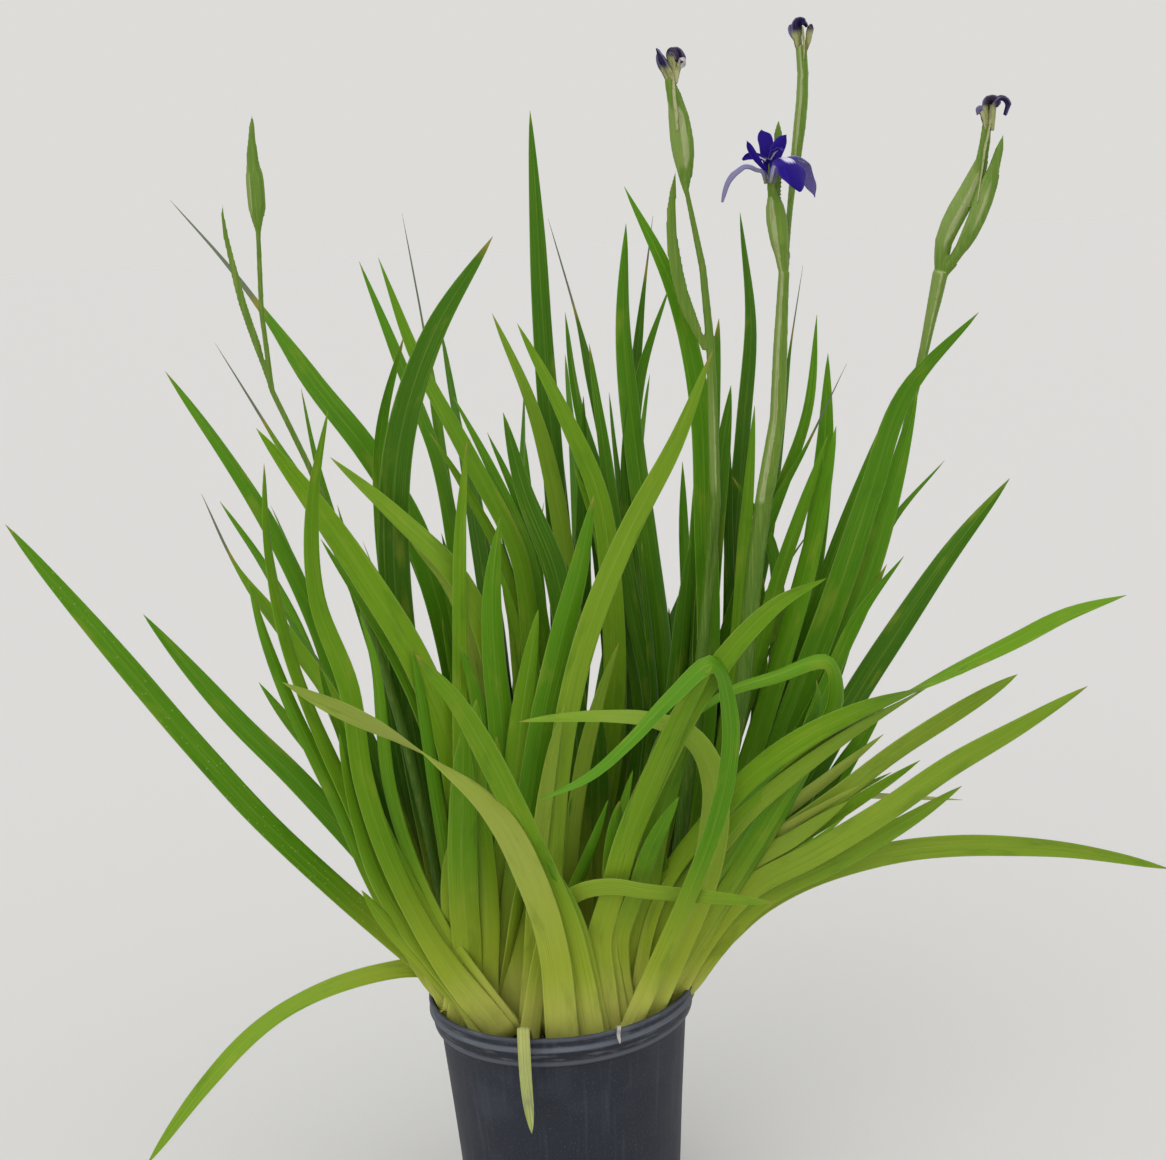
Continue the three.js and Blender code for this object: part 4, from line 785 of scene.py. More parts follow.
def add_blade(build, blade, look, stations, columns):
    """A sword-shaped blade: thick at the foot, thin at its edges, with a low midrib."""
    chance = look.chance
    cup = chance.uniform(-CUP, CUP)
    twist = math.radians(chance.uniform(-TWIST, TWIST))
    waves = chance.uniform(*TWIST_TURNS)
    phase = chance.uniform(0, math.tau)
    rows = []
    for i in range(stations + 1):
        s = i / stations
        middle, ahead, across, out = blade.at(s * (1 - TIP_SHORT / blade.length))
        loose = smooth(LOOSE_FROM, LOOSE_FULL, s)
        turn = Matrix.Rotation(twist * loose * math.sin(waves * math.pi * s + phase), 3, ahead)
        across, out = turn @ across, turn @ out
        half = max(LEAST_HALF, blade.wide / 2 * look.width(s))
        thick = mix(mix(FOOT_THICK, MIDDLE_THICK, smooth(0, 0.3, s)), TIP_THICK, smooth(0.5, 1, s))
        thick = min(thick, half)
        row = []
        for u in columns:
            lens = max(0.0, 1 - u * u) ** 0.6 * (1 - MIDRIB) + MIDRIB * math.exp(-(u / MIDRIB_HALF) ** 2)
            bend = cup * half * (u * u - CUP_LEVEL) * loose
            ripple = RIPPLE * abs(u) ** 3 * loose * math.sin(s * blade.length / RIPPLE_LENGTH + phase + u)
            ripple *= smooth(0, RIPPLE_FADES, half)
            row.append((
                middle + across * (u * half) + out * (bend + ripple),
                out * (lens * thick / 2),
                {
                    "blade": (s, u, look.tone),
                    "blade_mm": (u * half / MM, s * blade.length / MM, look.place),
                    "blade_wear": (look.wear(s), look.specked, 0.0),
                },
            ))
        rows.append(row)
    build.sheet(rows)


def middle_lines(nodes):
    """Points along the middle lines of some leaves, for finding what comes near."""
    points = []
    for node in nodes:
        for blade in read_blades(node):
            points += [blade.at(k / CLEAR_SAMPLES)[0] for k in range(CLEAR_SAMPLES)]
    tree = KDTree(len(points))
    for k, point in enumerate(points):
        tree.insert(point, k)
    tree.balance()
    return tree


def keeps_clear(blade, tree):
    """Whether a blade above its foot stays off the leaves in the tree."""
    places = [blade.at(mix(CLEAR_FROM, 1, k / CLEAR_SAMPLES))[0] for k in range(CLEAR_SAMPLES + 1)]
    return all(tree.find(place)[2] > CLEARANCE for place in places)


def add_shorter(build, blade, tone, seed, chance, front):
    """A few shorter blades behind and beside one, where they keep clear of the front leaves."""
    for more in range(chance.choice(SHORTER_COUNTS)):
        dead = chance.uniform(*DEAD_WEAR) if chance.random() < DEAD_SHARE else 0.0
        shade = clamp(tone + chance.uniform(*SHORTER_TONES))
        look = Look(shade, seed * 7 + more, dead=dead)
        shorter = blade.beside(chance)
        if keeps_clear(shorter, front):
            add_blade(build, shorter, look, BESIDE_STATIONS, BESIDE_COLUMNS)


class IRIS_OT_leaves(bpy.types.Operator):
    """Sword leaves, blade by blade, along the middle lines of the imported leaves"""

    bl_idname = "iris.leaves"
    bl_label = "Leaves"

    def execute(self, context):
        settings = context.scene.iris_leaves
        green, dry = leaf_cuticle(settings), dry_blade()
        front = middle_lines(KEPT_CLEAR)
        for order, node in enumerate(sorted(LEAF_NODES)):
            build = Build()
            chance = random.Random(order + 1)
            for k, blade in enumerate(read_blades(node)):
                seed = 31 * order + k + 5
                # Painted shade: the further back a blade stands, the deeper its tone
                back = BACK_PAINTED_SHADE * smooth(0, BACK_FULL, blade.centres[0].y)
                tone = clamp(TONES.get(node, MEAN_TONE) - back + chance.uniform(-1, 1) * TONE_SPREAD)
                look = Look(
                    tone, seed, WITHERED.get((node, k)), (node, k) in WITHERED, (node, k) == BLUNT,
                    specked=1.0 if node in SPECKED else UNSPECKED,
                    foot=FAN_FOOT if node.startswith("fan_") else LEAF_FOOT,
                )
                add_blade(build, blade, look, settings.stations, BLADE_COLUMNS)
                if node not in ALONE:
                    add_shorter(build, blade, tone, seed, chance, front)
            slot = SLOT_OF[node]
            piece = build.object("blade_" + node, dry if slot == "leaf_dry" else green)
            settle_in(piece, slot, node)
        return {"FINISHED"}


# Stalks

STALK_VOXEL, STALK_ROUNDS = 0.9 * MM, 8
# Only above this share of its height is a stalk in its sheath, which sets in over the share before
SHEATH_FROM, SHEATH_STEP = 0.6, 0.1
# Thickness in mm at which the bracts set in, how much more until they are whole, and the most counted
BRACT_GIRTH, BRACT_MORE, MOST_GIRTH = 8.5, 2, 30.0
# How far the outer bract stands over the inner one, and how soft its edge is round the stalk
BRACT_STEP, BRACT_EDGE = 0.9 * MM, 0.06
# Way that each stalk's outer bract faces, in radians from the right
BRACT_TURNS = {"stem_left_bud": -0.3, "stem_middle": 0.15, "stem_flower": -0.35, "stem_right": 0.1}


def rounded_copy(node, voxel, rounds):
    """A node's shape as one even, softly rounded mesh."""
    mesh = NODES[node].data.copy()
    made = bpy.data.objects.new("round_" + node, mesh)
    bpy.context.scene.collection.objects.link(made)
    shape = bmesh.new()
    shape.from_mesh(mesh)
    bmesh.ops.remove_doubles(shape, verts=shape.verts, dist=WELD)
    shape.to_mesh(mesh)
    shape.free()
    remesh = made.modifiers.new("even", "REMESH")
    remesh.mode = "VOXEL"
    remesh.voxel_size = voxel
    soften = made.modifiers.new("soft", "SMOOTH")
    soften.factor = 0.5
    soften.iterations = rounds
    depsgraph = bpy.context.evaluated_depsgraph_get()
    finished = bpy.data.meshes.new_from_object(made.evaluated_get(depsgraph))
    made.modifiers.clear()
    made.data = finished
    bpy.data.meshes.remove(mesh)
    return made


def lay_bracts(piece, turn):
    """Marks thickness, height and side, and lays the outer bract over the inner one with a small step."""
    mesh = piece.data
    tree = BVHTree.FromPolygons([v.co for v in mesh.vertices], [p.vertices for p in mesh.polygons])
    low = min(v.co.z for v in mesh.vertices)
    high = max(v.co.z for v in mesh.vertices)
    facing = Vector((math.cos(turn), math.sin(turn), 0))
    marks, moves = [], []
    for vertex in mesh.vertices:
        inward = -vertex.normal
        _, _, _, distance = tree.ray_cast(vertex.co + inward * 0.1 * MM, inward)
        height = (vertex.co.z - low) / (high - low)
        sheathed = smooth(SHEATH_FROM - SHEATH_STEP, SHEATH_FROM, height)
        girth = min(MOST_GIRTH, (distance or 0) / MM) * sheathed
        side = vertex.normal.dot(facing)
        marks += [girth, height, side]
        outer = smooth(-BRACT_EDGE, BRACT_EDGE, side)
        raised = BRACT_STEP * smooth(BRACT_GIRTH, BRACT_GIRTH + BRACT_MORE, girth) * outer
        moves.append(vertex.normal * raised)
    for vertex, move in zip(mesh.vertices, moves):
        vertex.co += move
    layer = mesh.attributes.new("stalk", "FLOAT_VECTOR", "POINT")
    layer.data.foreach_set("vector", marks)


class IRIS_OT_stalks(bpy.types.Operator):
    """Flower stalks with their sheaths"""

    bl_idname = "iris.stalks"
    bl_label = "Stalks"

    def execute(self, context):
        finish = stalk_skin()
        for node in sorted(STEM_NODES):
            piece = rounded_copy(node, STALK_VOXEL, STALK_ROUNDS)
            lay_bracts(piece, BRACT_TURNS[node])
            piece.data.materials.clear()
            piece.data.materials.append(finish)
            piece.data.shade_smooth()
            settle_in(piece, SLOT_OF[node], node)
        return {"FINISHED"}


# The open flower

# A petal's thickness and its least half width
PETAL_THICK, PETAL_LEAST = 0.6 * MM, 0.25 * MM
PETAL_STATIONS, PETAL_COLUMNS = 48, 17
# Share of a petal's line at which its last section stands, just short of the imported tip
PETAL_END = 0.995
# Share of the full width at even steps from claw to tip, how far the edges bend, and waves along the edge
PETAL_FORMS = {
    "fall": ((0.34, 0.32, 0.36, 0.55, 0.86, 1.0, 1.0, 0.9, 0.62, 0.0), 0.3, 3.5),
    "standard": ((0.5, 0.5, 0.6, 0.78, 0.95, 1.0, 0.92, 0.66, 0.0), -0.45, 2.5),
    "style": ((0.6, 0.65, 0.75, 0.88, 0.97, 1.0, 0.9, 0.65, 0.3), -0.35, 2.5),
    "folded": ((0.5, 0.52, 0.58, 0.66, 0.74, 0.76, 0.74, 0.64, 0.5, 0.2), 0.8, 2.0),
}
# Where the pale throat ends and where it is full, as shares of the petal's length
THROAT = {"fall": (0.74, 0.5), "standard": (0.2, 0.0), "style": (0.9, 0.4)}
# The edge waves from the first share of the length on and in full from the second; the waves grow with
# this power towards the edge and run ahead on one side by this many radians
RUFFLE_FROM, RUFFLE_FULL, RUFFLE_POWER, RUFFLE_AHEAD = 0.15, 0.6, 2.5, 1.3
# How lilac a petal is below and how pale all over
PETAL_TINTS = {"fall_back": (1.0, 0.3), "fall_front": (1.0, 0.0), "fall_left": (1.0, 0.85)}
PLAIN_TINT = (0.05, 0.0)
# The petals rise out of a tube this far below their feet, drawn in by this share towards its middle
FLOWER_TUBE, TUBE_DRAWN_IN = 11 * MM, 0.7
# Widest part of a petal over its packed mean width
PETAL_WIDTHS = {
    "fall_back": 1.45, "fall_front": 1.6, "fall_left": 0.95, "standard_back": 1.85, "standard_left": 1.7,
    "standard_right": 1.5, "style_back": 1.7, "style_front": 1.6, "style_left": 1.3,
}
# The left fall has folded down along its middle, and its edge waves this share as high
FOLDED, FOLDED_RUFFLE = ("fall_left",), 0.2
# Petals that show their broad side to the front
FACING = ("standard_left", "standard_right", "style_left")


def plain_width(_):
    return 1.0


def add_petal(build, blade, node, ruffle):
    """A thin petal whose edge waves more the wider it gets."""
    kind = node.split("_")[0]
    wide = PETAL_WIDTHS[node] * blade.wide
    tint = PETAL_TINTS.get(node, PLAIN_TINT)
    shares, bend, waves = PETAL_FORMS["folded" if node in FOLDED else kind]
    throat_end, throat_full = THROAT[kind]
    rows = []
    for i in range(PETAL_STATIONS):
        s = i / (PETAL_STATIONS - 1)
        middle, _, across, out = blade.at(min(s, PETAL_END))
        half = max(PETAL_LEAST, wide / 2 * along(shares, s))
        ruffled = smooth(RUFFLE_FROM, RUFFLE_FULL, s)
        row = []
        for k in range(PETAL_COLUMNS):
            u = -1 + 2 * k / (PETAL_COLUMNS - 1)
            swing = math.sin(math.tau * waves * s + u * RUFFLE_AHEAD)
            wave = ruffle * abs(u) ** RUFFLE_POWER * ruffled * swing
            throat = smooth(throat_end, throat_full, s) * smooth(0.9, 0.1, abs(u))
            row.append((
                middle + across * (u * half) + out * (wave - bend * half * u * u),
                out * (0 if abs(u) == 1 else PETAL_THICK / 2),
                {
                    "petal": (s, u, throat),
                    "petal_mm": (u * half / MM, s * blade.length / MM, 0.0),
                    "petal_tint": (*tint, 0.0),
                },
            ))
        rows.append(row)
    build.sheet(rows)


class IRIS_OT_flower(bpy.types.Operator):
    """The open flower: falls, standards and style arms"""

    bl_idname = "iris.flower"
    bl_label = "Open flower"

    def execute(self, context):
        settings = context.scene.iris_flower
        finish = petal_skin(settings)
        blades = {}
        for node in sorted(PETAL_NODES):
            blades[node] = max(read_blades(node, plain_width), key=lambda found: found.length)
        heart = sum((blade.centres[0] for blade in blades.values()), Vector()) / len(blades)
        for node, blade in blades.items():
            build = Build()
            if node in FACING:
                reach = blade.centres[-1] - blade.centres[0]
                blade.acrosses = [reach.cross(Vector((0, 1, 0))).normalized()] * len(blade.acrosses)
            if not node.startswith("style_"):
                drawn_in = blade.centres[0].lerp(heart, TUBE_DRAWN_IN)
                blade.centres.insert(0, drawn_in - UP * FLOWER_TUBE)
                blade.acrosses.insert(0, blade.acrosses[0])
            if blade.at(0.5)[3].z < 0:
                blade.acrosses = [-a for a in blade.acrosses]
            add_petal(build, blade, node, settings.ruffle * (FOLDED_RUFFLE if node in FOLDED else 1))
            piece = build.object("petal_" + node, finish)
            settle_in(piece, SLOT_OF[node], node)
        return {"FINISHED"}


# Spent blooms

# Rolled petals of each bloom: tone from dark violet to off-white, width in mm, and the line from foot to
# tip in half sizes of the bloom's box
ROLLED = {
    "spent_bloom_middle": (
        (0.1, 9, (
            (0.05, 0, -1.7), (-0.25, -0.1, -0.9), (-0.6, -0.2, -0.2), (-0.85, -0.2, 0.4), (-1, 0, 0.9),
        )),
        (0.3, 13, (
            (0, 0.1, -1.7), (-0.1, 0.1, -0.5), (-0.3, 0, 0.5),
            (0, -0.1, 1), (0.4, -0.3, 0.7), (0.5, -0.5, 0),
        )),
        (1.0, 12, (
            (0.1, 0, -1.6), (0.2, 0, -0.6), (0.45, 0, 0.1),
            (0.9, -0.2, 0.1), (0.95, -0.5, -0.4), (0.6, -0.6, -0.6),
        )),
        (0.2, 11, (
            (0, 0.2, -1.7), (0.1, 0.5, -0.4), (0.3, 0.7, 0.5), (0.6, 0.8, 0.2), (0.7, 0.7, -0.4),
        )),
        (0.0, 10, (
            (0, 0.1, -1.7), (-0.3, 0.5, -0.5), (-0.6, 0.8, 0.2), (-0.7, 0.6, 0.7),
        )),
    ),
    "spent_bloom_right": (
        (0.6, 12, (
            (-0.2, 0, -1.8), (-0.3, -0.1, -0.8), (-0.4, -0.1, 0),
            (-0.7, -0.2, 0.3), (-0.95, -0.2, 0), (-0.9, -0.2, -0.5),
        )),
        (0.3, 14, (
            (0, 0.1, -1.8), (-0.1, 0.1, -0.6), (-0.1, 0, 0.4),
            (0, -0.2, 0.95), (0.2, -0.4, 0.6), (0.2, -0.5, 0),
        )),
        (0.0, 14, (
            (0.2, 0, -1.8), (0.3, -0.1, -0.7), (0.4, -0.2, 0.3),
            (0.7, -0.3, 0.9), (0.95, -0.4, 0.3), (0.8, -0.5, -0.6),
        )),
        (0.2, 11, (
            (0, 0.3, -1.7), (0.1, 0.5, -0.4), (0.3, 0.8, 0.4), (0.5, 0.9, 0),
        )),
        (0.1, 11, (
            (0, 0.2, -1.7), (-0.1, 0.5, -0.5), (-0.4, 0.8, 0.3), (-0.7, 0.9, 0),
        )),
    ),
    "spent_bloom_tall": (
        (0.1, 13, (
            (-0.1, 0, -1.7), (-0.3, -0.1, -0.6), (-0.4, -0.2, 0.3), (-0.2, -0.4, 0.9), (0.1, -0.5, 0.5),
        )),
        (0.3, 12, (
            (0.1, 0, -1.7), (0.3, 0, -0.6), (0.5, 0, 0.3), (0.8, -0.1, 0.6), (0.95, -0.2, 0),
        )),
        (0.7, 9, (
            (-0.1, 0.1, -1.7), (-0.4, 0.2, -0.5), (-0.8, 0.3, 0.1), (-0.95, 0.2, 0.7),
        )),
        (0.0, 11, (
            (0, 0.2, -1.7), (0, 0.5, -0.3), (0.1, 0.8, 0.6), (0.4, 0.9, 0.3),
        )),
    ),
}
# Papery tube of each bloom where it runs down over its bract: x and height in mm from the bloom's middle
TUBES = {
    "spent_bloom_middle": ((1, 2), (0, -12), (0, -26), (1, -40), (2, -52)),
    "spent_bloom_right": ((0, 2), (-2, -14), (-6, -32), (-9, -52), (-13, -72)),
    "spent_bloom_tall": ((0, 2), (0, -12), (0, -22)),
}
# The tubes' tone is past off-white, which the material takes for paper
TUBE_WIDTH, TUBE_CURL, TUBE_TONE, TUBE_CRUMPLING = 8 * MM, 0.8, 2.0, 0.3 * MM
# A rolled petal is cut this much wider than its width above, and rolls in by this many radians
ROLL_WIDER, ROLL_CURL = 1.45, 1.8
TISSUE_STATIONS, TISSUE_COLUMNS = 36, 13
# Half the thickness of a strip, its turn in radians along its length, and the length that it crumples over
TISSUE_HALF, TISSUE_TURN, CRUMPLE_LENGTH = 0.25 * MM, 0.7, 6 * MM
# Each strip reads the noise at a place of its own within this
CRUMPLE_PLACES = 50
# Without a seed the vector noise differs from run to run
NOISE_SEED = 1


def add_tissue(build, points, width, curl, tone, chance, crumpling=0.7 * MM):
    """A dried petal: a strip along points that rolls in at its edges and crumples."""
    noise.seed_set(NOISE_SEED)
    spin = chance.uniform(-TISSUE_TURN, TISSUE_TURN)
    crumple = chance.uniform(-CRUMPLE_PLACES, CRUMPLE_PLACES)
    start = (points[1] - points[0]).normalized()
    across = start.cross(UP if abs(start.z) < 0.9 else Vector((1, 0, 0))).normalized()
    reach = sum((b - a).length for a, b in zip(points, points[1:]))
    step = 0.02
    rows = []
    for i in range(TISSUE_STATIONS):
        s = i / (TISSUE_STATIONS - 1)
        middle = along(points, s)
        ahead = (along(points, min(1, s + step)) - along(points, max(0, s - step))).normalized()
        side = (Matrix.Rotation(spin * s, 3, ahead) @ (across - ahead * across.dot(ahead))).normalized()
        out = side.cross(ahead)
        half = width / 2 * (0.3 + 0.7 * math.sin(math.pi * clamp(s * 0.85 + 0.1)))
        row = []
        for k in range(TISSUE_COLUMNS):
            u = -1 + 2 * k / (TISSUE_COLUMNS - 1)
            bend = curl * u
            place = middle + side * (math.sin(bend) / curl * half)
            place += out * ((1 - math.cos(bend)) / curl * half)
            place += noise.noise_vector(place / CRUMPLE_LENGTH + Vector((crumple, 0, 0))) * crumpling
            row.append((
                place,
                out * (0 if abs(u) == 1 else TISSUE_HALF),
                {
                    "blade": (s, u, tone),
                    "blade_mm": (u * half / MM, s * reach / MM, crumple),
                },
            ))
        rows.append(row)
    build.sheet(rows)


def fit_into(points, middle, half):
    """Draws points in evenly where they pass a box's sides or its top; a foot may run on below."""
    for axis in range(3):
        reach = [p[axis] - middle[axis] for p in points]
        over = max(reach) if axis == 2 else max(max(reach), -min(reach))
        share = min(1.0, half[axis] / over)
        for p, r in zip(points, reach):
            if axis < 2 or r > 0:
                p[axis] = middle[axis] + r * share


def stalk_front():
    """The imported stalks' surface, for what lies on it."""
    points, faces = [], []
    for node in STEM_NODES:
        mesh = NODES[node].data
        first = len(points)
        points += [v.co for v in mesh.vertices]
        faces += [[first + k for k in p.vertices] for p in mesh.polygons]
    return BVHTree.FromPolygons(points, faces)


def lie_on(tree, line, middle):
    """A line given by x and height, laid on the front of what the tree holds."""
    points = []
    for x, z in line:
        start = Vector((middle.x + x * MM, -1, middle.z + z * MM))
        found = tree.ray_cast(start, Vector((0, 1, 0)))[0]
        y = found.y if found else (points[-1].y if points else middle.y)
        points.append(Vector((start.x, y, start.z)))
    points[0].y = middle.y
    return points


class IRIS_OT_spent_blooms(bpy.types.Operator):
    """Withered flowers at the heads of the stalks"""

    bl_idname = "iris.spent_blooms"
    bl_label = "Spent blooms"

    def execute(self, context):
        finish = withered_petal()
        stalks = stalk_front()
        for order, node in enumerate(sorted(BLOOM_NODES)):
            low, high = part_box(node)
            middle, half = (low + high) / 2, (high - low) / 2
            chance = random.Random(41 + order)
            build = Build()
            for tone, width, line in ROLLED[node]:
                points = [middle + Vector(p[i] * half[i] for i in range(3)) for p in line]
                curl = chance.choice((-ROLL_CURL, ROLL_CURL))
                add_tissue(build, points, width * ROLL_WIDER * MM, curl, tone, chance)
            fit_into(build.points, middle, half)
            tube = lie_on(stalks, TUBES[node], middle)
            add_tissue(build, tube, TUBE_WIDTH, TUBE_CURL, TUBE_TONE, chance, TUBE_CRUMPLING)
            piece = build.object("tissue_" + node, finish)
            settle_in(piece, SLOT_OF[node], node)
        return {"FINISHED"}


# Pot and potting mix

# Slope of the rim from left to right, and the heights between which the wall comes to follow it
RIM_WARP = math.tan(math.radians(1.6))
WARP_FROM, WARP_FULL = 60 * MM, SOIL_TOP
# Height of the band under the rim, and the ridge round it as a share of that, from the top
RIM_BAND, RIDGE_DOWN = 26 * MM, 0.45
# Steps along the outline are about this long, and the wall is dented in and out by up to this
OUTLINE_STEP, DENT = 9 * MM, 0.5 * MM


def pot_outline():
    """Radius and height of the pot's outside and inside, from the middle of the base round to the floor."""
    rim = RIM_RADIUS
    band = RIM_HEIGHT - RIM_BAND
    ridge = RIM_HEIGHT - RIM_BAND * RIDGE_DOWN
    outside = [
        (0, 0), (rim - 26 * MM, 0), (rim - 23.8 * MM, 0.6 * MM), (rim - 23 * MM, 3 * MM),
        (rim - 13 * MM, 135 * MM), (rim - 9.2 * MM, band - 4 * MM), (rim - 8.2 * MM, band - 1.6 * MM),
        (rim - 5.6 * MM, band - 0.2 * MM), (rim - 4.2 * MM, band + 0.8 * MM),
        (rim - 3.6 * MM, band + 2.4 * MM), (rim - 3.1 * MM, ridge - 3 * MM),
        (rim - 2.2 * MM, ridge - 1.4 * MM), (rim - 0.5 * MM, ridge - 0.4 * MM),
        (rim, ridge + 0.2 * MM), (rim - 0.4 * MM, ridge + 1 * MM), (rim - 1.8 * MM, ridge + 1.9 * MM),
        (rim - 2 * MM, ridge + 3 * MM), (rim - 1.7 * MM, RIM_HEIGHT - 4.6 * MM),
        (rim - 1 * MM, RIM_HEIGHT - 3.4 * MM), (rim - 0.1 * MM, RIM_HEIGHT - 2.5 * MM),
        (rim - 0.2 * MM, RIM_HEIGHT - 1.1 * MM), (rim - 1 * MM, RIM_HEIGHT - 0.2 * MM),
        (rim - 2.4 * MM, RIM_HEIGHT), (rim - 3.8 * MM, RIM_HEIGHT - 0.8 * MM),
    ]
    inside = [
        (rim - 5.4 * MM, band + 5 * MM), (rim - 10.8 * MM, band - 4 * MM), (rim - 14.8 * MM, 135 * MM),
        (rim - 24.8 * MM, 2.6 * MM), (0, 2.5 * MM),
    ]
    return outside, inside


def warped(place):
    """The rim has dropped to the left and risen to the right."""
    rise = smooth(WARP_FROM, WARP_FULL, place.z)
    return place + UP * (place.x * RIM_WARP * rise)


def flip_outward(piece):
    """Makes every face point out of the closed shape."""
    shape = bmesh.new()
    shape.from_mesh(piece.data)
    bmesh.ops.recalc_face_normals(shape, faces=shape.faces)
    shape.to_mesh(piece.data)
    shape.free()


class IRIS_OT_pot(bpy.types.Operator):
    """Nursery pot with its banded rim"""

    bl_idname = "iris.pot"
    bl_label = "Pot"

    def execute(self, context):
        settings = context.scene.iris_pot
        outside, inside = pot_outline()
        fine = []
        profile = [(r, z, 0.0) for r, z in outside] + [(r, z, 1.0) for r, z in inside]
        for (r0, z0, inner), (r1, z1, _) in zip(profile, profile[1:]):
            pieces = max(1, round(math.hypot(r1 - r0, z1 - z0) / OUTLINE_STEP))
            fine += [(mix(r0, r1, k / pieces), mix(z0, z1, k / pieces), inner) for k in range(pieces)]
        fine.append(profile[-1])
        build = Build()
        rings = []
        for r, z, inner in fine:
            ring = []
            for k in range(settings.sides):
                turn = math.tau * k / settings.sides
                dent = noise.noise(Vector((math.cos(turn) * 2, math.sin(turn) * 2, z * 14))) * DENT
                free = 3 * MM < z and 20 * MM < r < RIM_RADIUS - 0.6 * MM
                radius = max(0.05 * MM, r + dent * free)
                place = warped(Vector((math.cos(turn) * radius, math.sin(turn) * radius, z)))
                ring.append(build.point(place, pot=(turn * RIM_RADIUS / MM, z / MM, inner)))
            rings.append(ring)
        build.tube(rings)
        piece = build.object("nursery_pot", pot_plastic(settings))
        flip_outward(piece)
        settle_in(piece, "pot", "pot")
        return {"FINISHED"}


CRUMBS = 1100
# Sizes of the crumbs over their mean, the axes of one over its size, and its tilt in radians
CRUMB_SIZES, CRUMB_AXES, CRUMB_TILT = (0.6, 2.0), (0.45, 1.0), 0.5
# A corner stands at least this share of the even distance out, and up to that much more
CORNER_LEAST, CORNER_MORE = 0.75, 0.5
# Height of a crumb's middle over the mix, as a share of its size
CRUMB_RAISED = 0.1
# The mix ends this far inside the rim's radius, with an edge this wide that slopes down
MIX_INSIDE, MIX_EDGE, MIX_SLOPE = 15 * MM, 8 * MM, 0.4
# A shred of dead leaf that hangs over the front of the rim, in mm
SHRED_LINE = ((44, -98, 213), (46, -104, 218.5), (45, -106.8, 213), (46, -106.5, 205))
SHRED_WIDTH, SHRED_CURL, SHRED_TONE = 4 * MM, 1.2, 1.0


def add_lump(build, middle, size, chance):
    """A rough crumb of bark."""
    sphere = bmesh.new()
    bmesh.ops.create_icosphere(sphere, subdivisions=1, radius=1)
    stretch = Vector([chance.uniform(*CRUMB_AXES) for _ in range(3)]) * size / 2
    turn = Matrix.Rotation(chance.uniform(0, math.tau), 3, "Z")
    spin = turn @ Matrix.Rotation(chance.uniform(-CRUMB_TILT, CRUMB_TILT), 3, "X")
    numbers = {}
    for vertex in sphere.verts:
        rough = CORNER_LEAST + CORNER_MORE * chance.random()
        place = spin @ Vector([vertex.co[i] * stretch[i] * rough for i in range(3)])
        numbers[vertex] = build.point(middle + place)
    for face in sphere.faces:
        build.faces.append(tuple(numbers[v] for v in face.verts))
    sphere.free()


class IRIS_OT_soil(bpy.types.Operator):
    """Potting mix with crumbs of bark on top, and a dead shred of leaf on the rim"""

    bl_idname = "iris.soil"
    bl_label = "Potting mix"

    def execute(self, context):
        settings = context.scene.iris_pot
        finish = potting_mix()
        NODES["soil"].material_slots[0].material = finish
        build = Build()
        chance = random.Random(7)
        reach = RIM_RADIUS - MIX_INSIDE
        for _ in range(CRUMBS):
            turn = chance.uniform(0, math.tau)
            radius = reach * math.sqrt(chance.random())
            size = settings.crumb * chance.uniform(*CRUMB_SIZES)
            height = SOIL_TOP - max(0.0, radius - reach + MIX_EDGE) * MIX_SLOPE + size * CRUMB_RAISED
            middle = Vector((math.cos(turn) * radius, math.sin(turn) * radius, height))
            if radius > reach - MIX_EDGE:
                middle = warped(middle)
            add_lump(build, middle, size, chance)
        piece = build.object("bark_crumbs", finish, smooth_faces=False)
        settle_in(piece, "soil")
        shred = Build()
        line = [Vector(place) * MM for place in SHRED_LINE]
        add_tissue(shred, line, SHRED_WIDTH, SHRED_CURL, SHRED_TONE, chance)
        piece = shred.object("leaf_shred", withered_petal())
        settle_in(piece, "leaf_dry")
        return {"FINISHED"}


# Stage

# The view: the eye in metres, how far it looks down and is tilted, and its focal length and the picture's
# width in pixels
EYE = Vector((0.036, -1.5, 0.875))
VIEW_PITCH = math.radians(11.75)
VIEW_ROLL = math.radians(-3)
VIEW_FOCAL = 1874
VIEW_WIDTH = 1166
SENSOR = 36.0
STUDIO_STRENGTH = 1.0

# Broad soft lights: where each comes from, its strength in watts per square metre and how wide it is
SOFT_LIGHTS = (
    ("key", (-1.4, -2.4, 2.0), 0.75, math.radians(50)),
    ("fill", (2.2, -1.8, 1.4), 0.25, math.radians(70)),
    ("top", (0.2, 0.3, 3.0), 0.35, math.radians(60)),
    ("back", (0.6, 2.4, 2.0), 0.3, math.radians(60)),
)


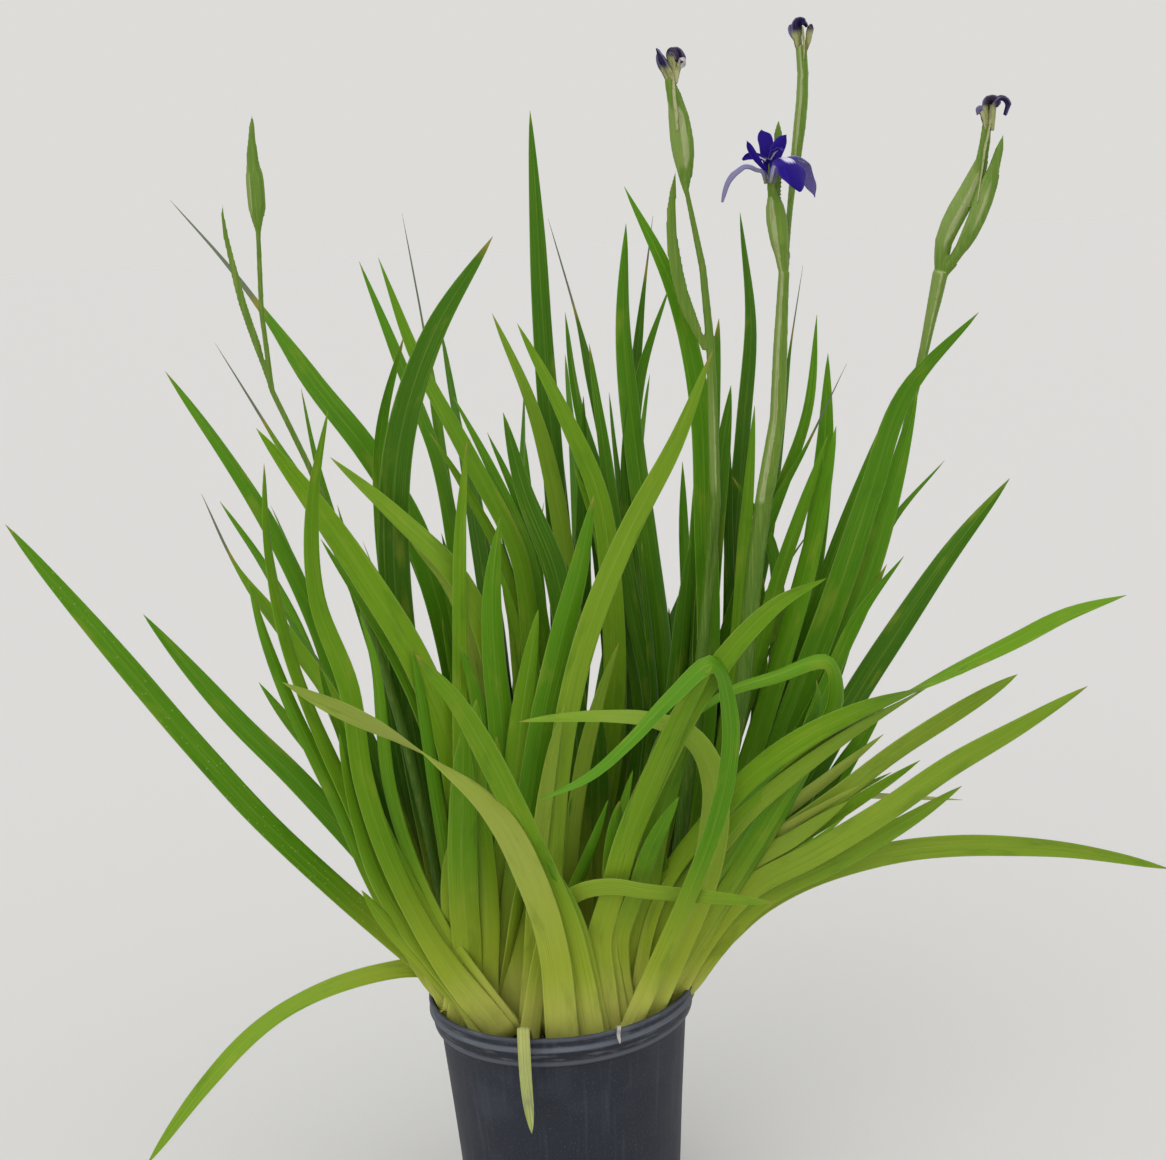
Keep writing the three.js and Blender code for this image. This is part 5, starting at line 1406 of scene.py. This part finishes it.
class IRIS_OT_stage(bpy.types.Operator):
    """Camera, soft light and a pale floor"""

    bl_idname = "iris.stage"
    bl_label = "Stage"

    def execute(self, context):
        scene = context.scene
        settings = scene.iris_stage
        forward = Vector((0, math.cos(VIEW_PITCH), -math.sin(VIEW_PITCH)))
        level_up = Vector((0, math.sin(VIEW_PITCH), math.cos(VIEW_PITCH)))
        right = Vector((1, 0, 0)) * math.cos(VIEW_ROLL) + level_up * math.sin(VIEW_ROLL)
        up = Vector((-1, 0, 0)) * math.sin(VIEW_ROLL) + level_up * math.cos(VIEW_ROLL)
        lens = bpy.data.cameras.new("view")
        lens.sensor_width = SENSOR
        lens.lens = SENSOR * VIEW_FOCAL / VIEW_WIDTH
        camera = bpy.data.objects.new("view", lens)
        turned = Matrix((right, up, -forward)).transposed().to_4x4()
        camera.matrix_world = Matrix.Translation(EYE) @ turned
        scene.collection.objects.link(camera)
        scene.camera = camera
        for name, place, strength, width in SOFT_LIGHTS:
            light = bpy.data.lights.new(name, "SUN")
            light.energy = strength
            light.angle = width
            lamp = bpy.data.objects.new(name, light)
            lamp.location = place
            lamp.rotation_euler = (-Vector(place)).to_track_quat("-Z", "Y").to_euler()
            scene.collection.objects.link(lamp)
        world = bpy.data.worlds.new("soft studio")
        world.use_nodes = True
        tree = world.node_tree
        way = add(tree, "ShaderNodeTexCoord", out="Generated")
        height = add(tree, "ShaderNodeSeparateXYZ", {0: way}, out=2)
        sky = coats(tree, settings.horizon, (height, 0.12, 0.7, 1.0, settings.overhead))
        tree.links.new(sky, tree.nodes["Background"].inputs[0])
        tree.nodes["Background"].inputs[1].default_value = STUDIO_STRENGTH
        scene.world = world
        scene.view_settings.view_transform = "Standard"
        build = Build()
        half = settings.reach / 2
        signs = ((-1, -1), (1, -1), (1, 1), (-1, 1))
        corners = [build.point(Vector((x * half, y * half, 0))) for x, y in signs]
        build.faces.append(tuple(corners))
        floor = build.object("floor", painted_floor(settings))
        return {"FINISHED"}


STEPS = (IRIS_OT_leaves, IRIS_OT_stalks, IRIS_OT_flower, IRIS_OT_spent_blooms, IRIS_OT_pot, IRIS_OT_soil,
         IRIS_OT_stage)
SETTINGS = {
    "iris_leaves": LeafSettings,
    "iris_flower": FlowerSettings,
    "iris_pot": PotSettings,
    "iris_stage": StageSettings,
}


class IRIS_PT_panel(bpy.types.Panel):
    """Settings and steps of the potted iris"""

    bl_label = "Potted iris"
    bl_idname = "IRIS_PT_panel"
    bl_space_type = "VIEW_3D"
    bl_region_type = "UI"
    bl_category = "Iris"

    def draw(self, context):
        for name, group in SETTINGS.items():
            box = self.layout.box()
            for key in group.__annotations__:
                box.prop(getattr(context.scene, name), key)
        for step in STEPS:
            self.layout.operator(step.bl_idname)


def register():
    for group in SETTINGS.values():
        bpy.utils.register_class(group)
    for name, group in SETTINGS.items():
        setattr(bpy.types.Scene, name, PointerProperty(type=group))
    for step in (*STEPS, IRIS_PT_panel):
        bpy.utils.register_class(step)


def unregister():
    for step in reversed((*STEPS, IRIS_PT_panel)):
        bpy.utils.unregister_class(step)
    for name, group in SETTINGS.items():
        delattr(bpy.types.Scene, name)
        bpy.utils.unregister_class(group)


def main():
    """Makes every piece in order."""
    register()
    bpy.ops.iris.leaves()
    bpy.ops.iris.stalks()
    bpy.ops.iris.flower()
    bpy.ops.iris.spent_blooms()
    bpy.ops.iris.pot()
    bpy.ops.iris.soil()
    bpy.ops.iris.stage()


if __name__ == "__main__":
    main()
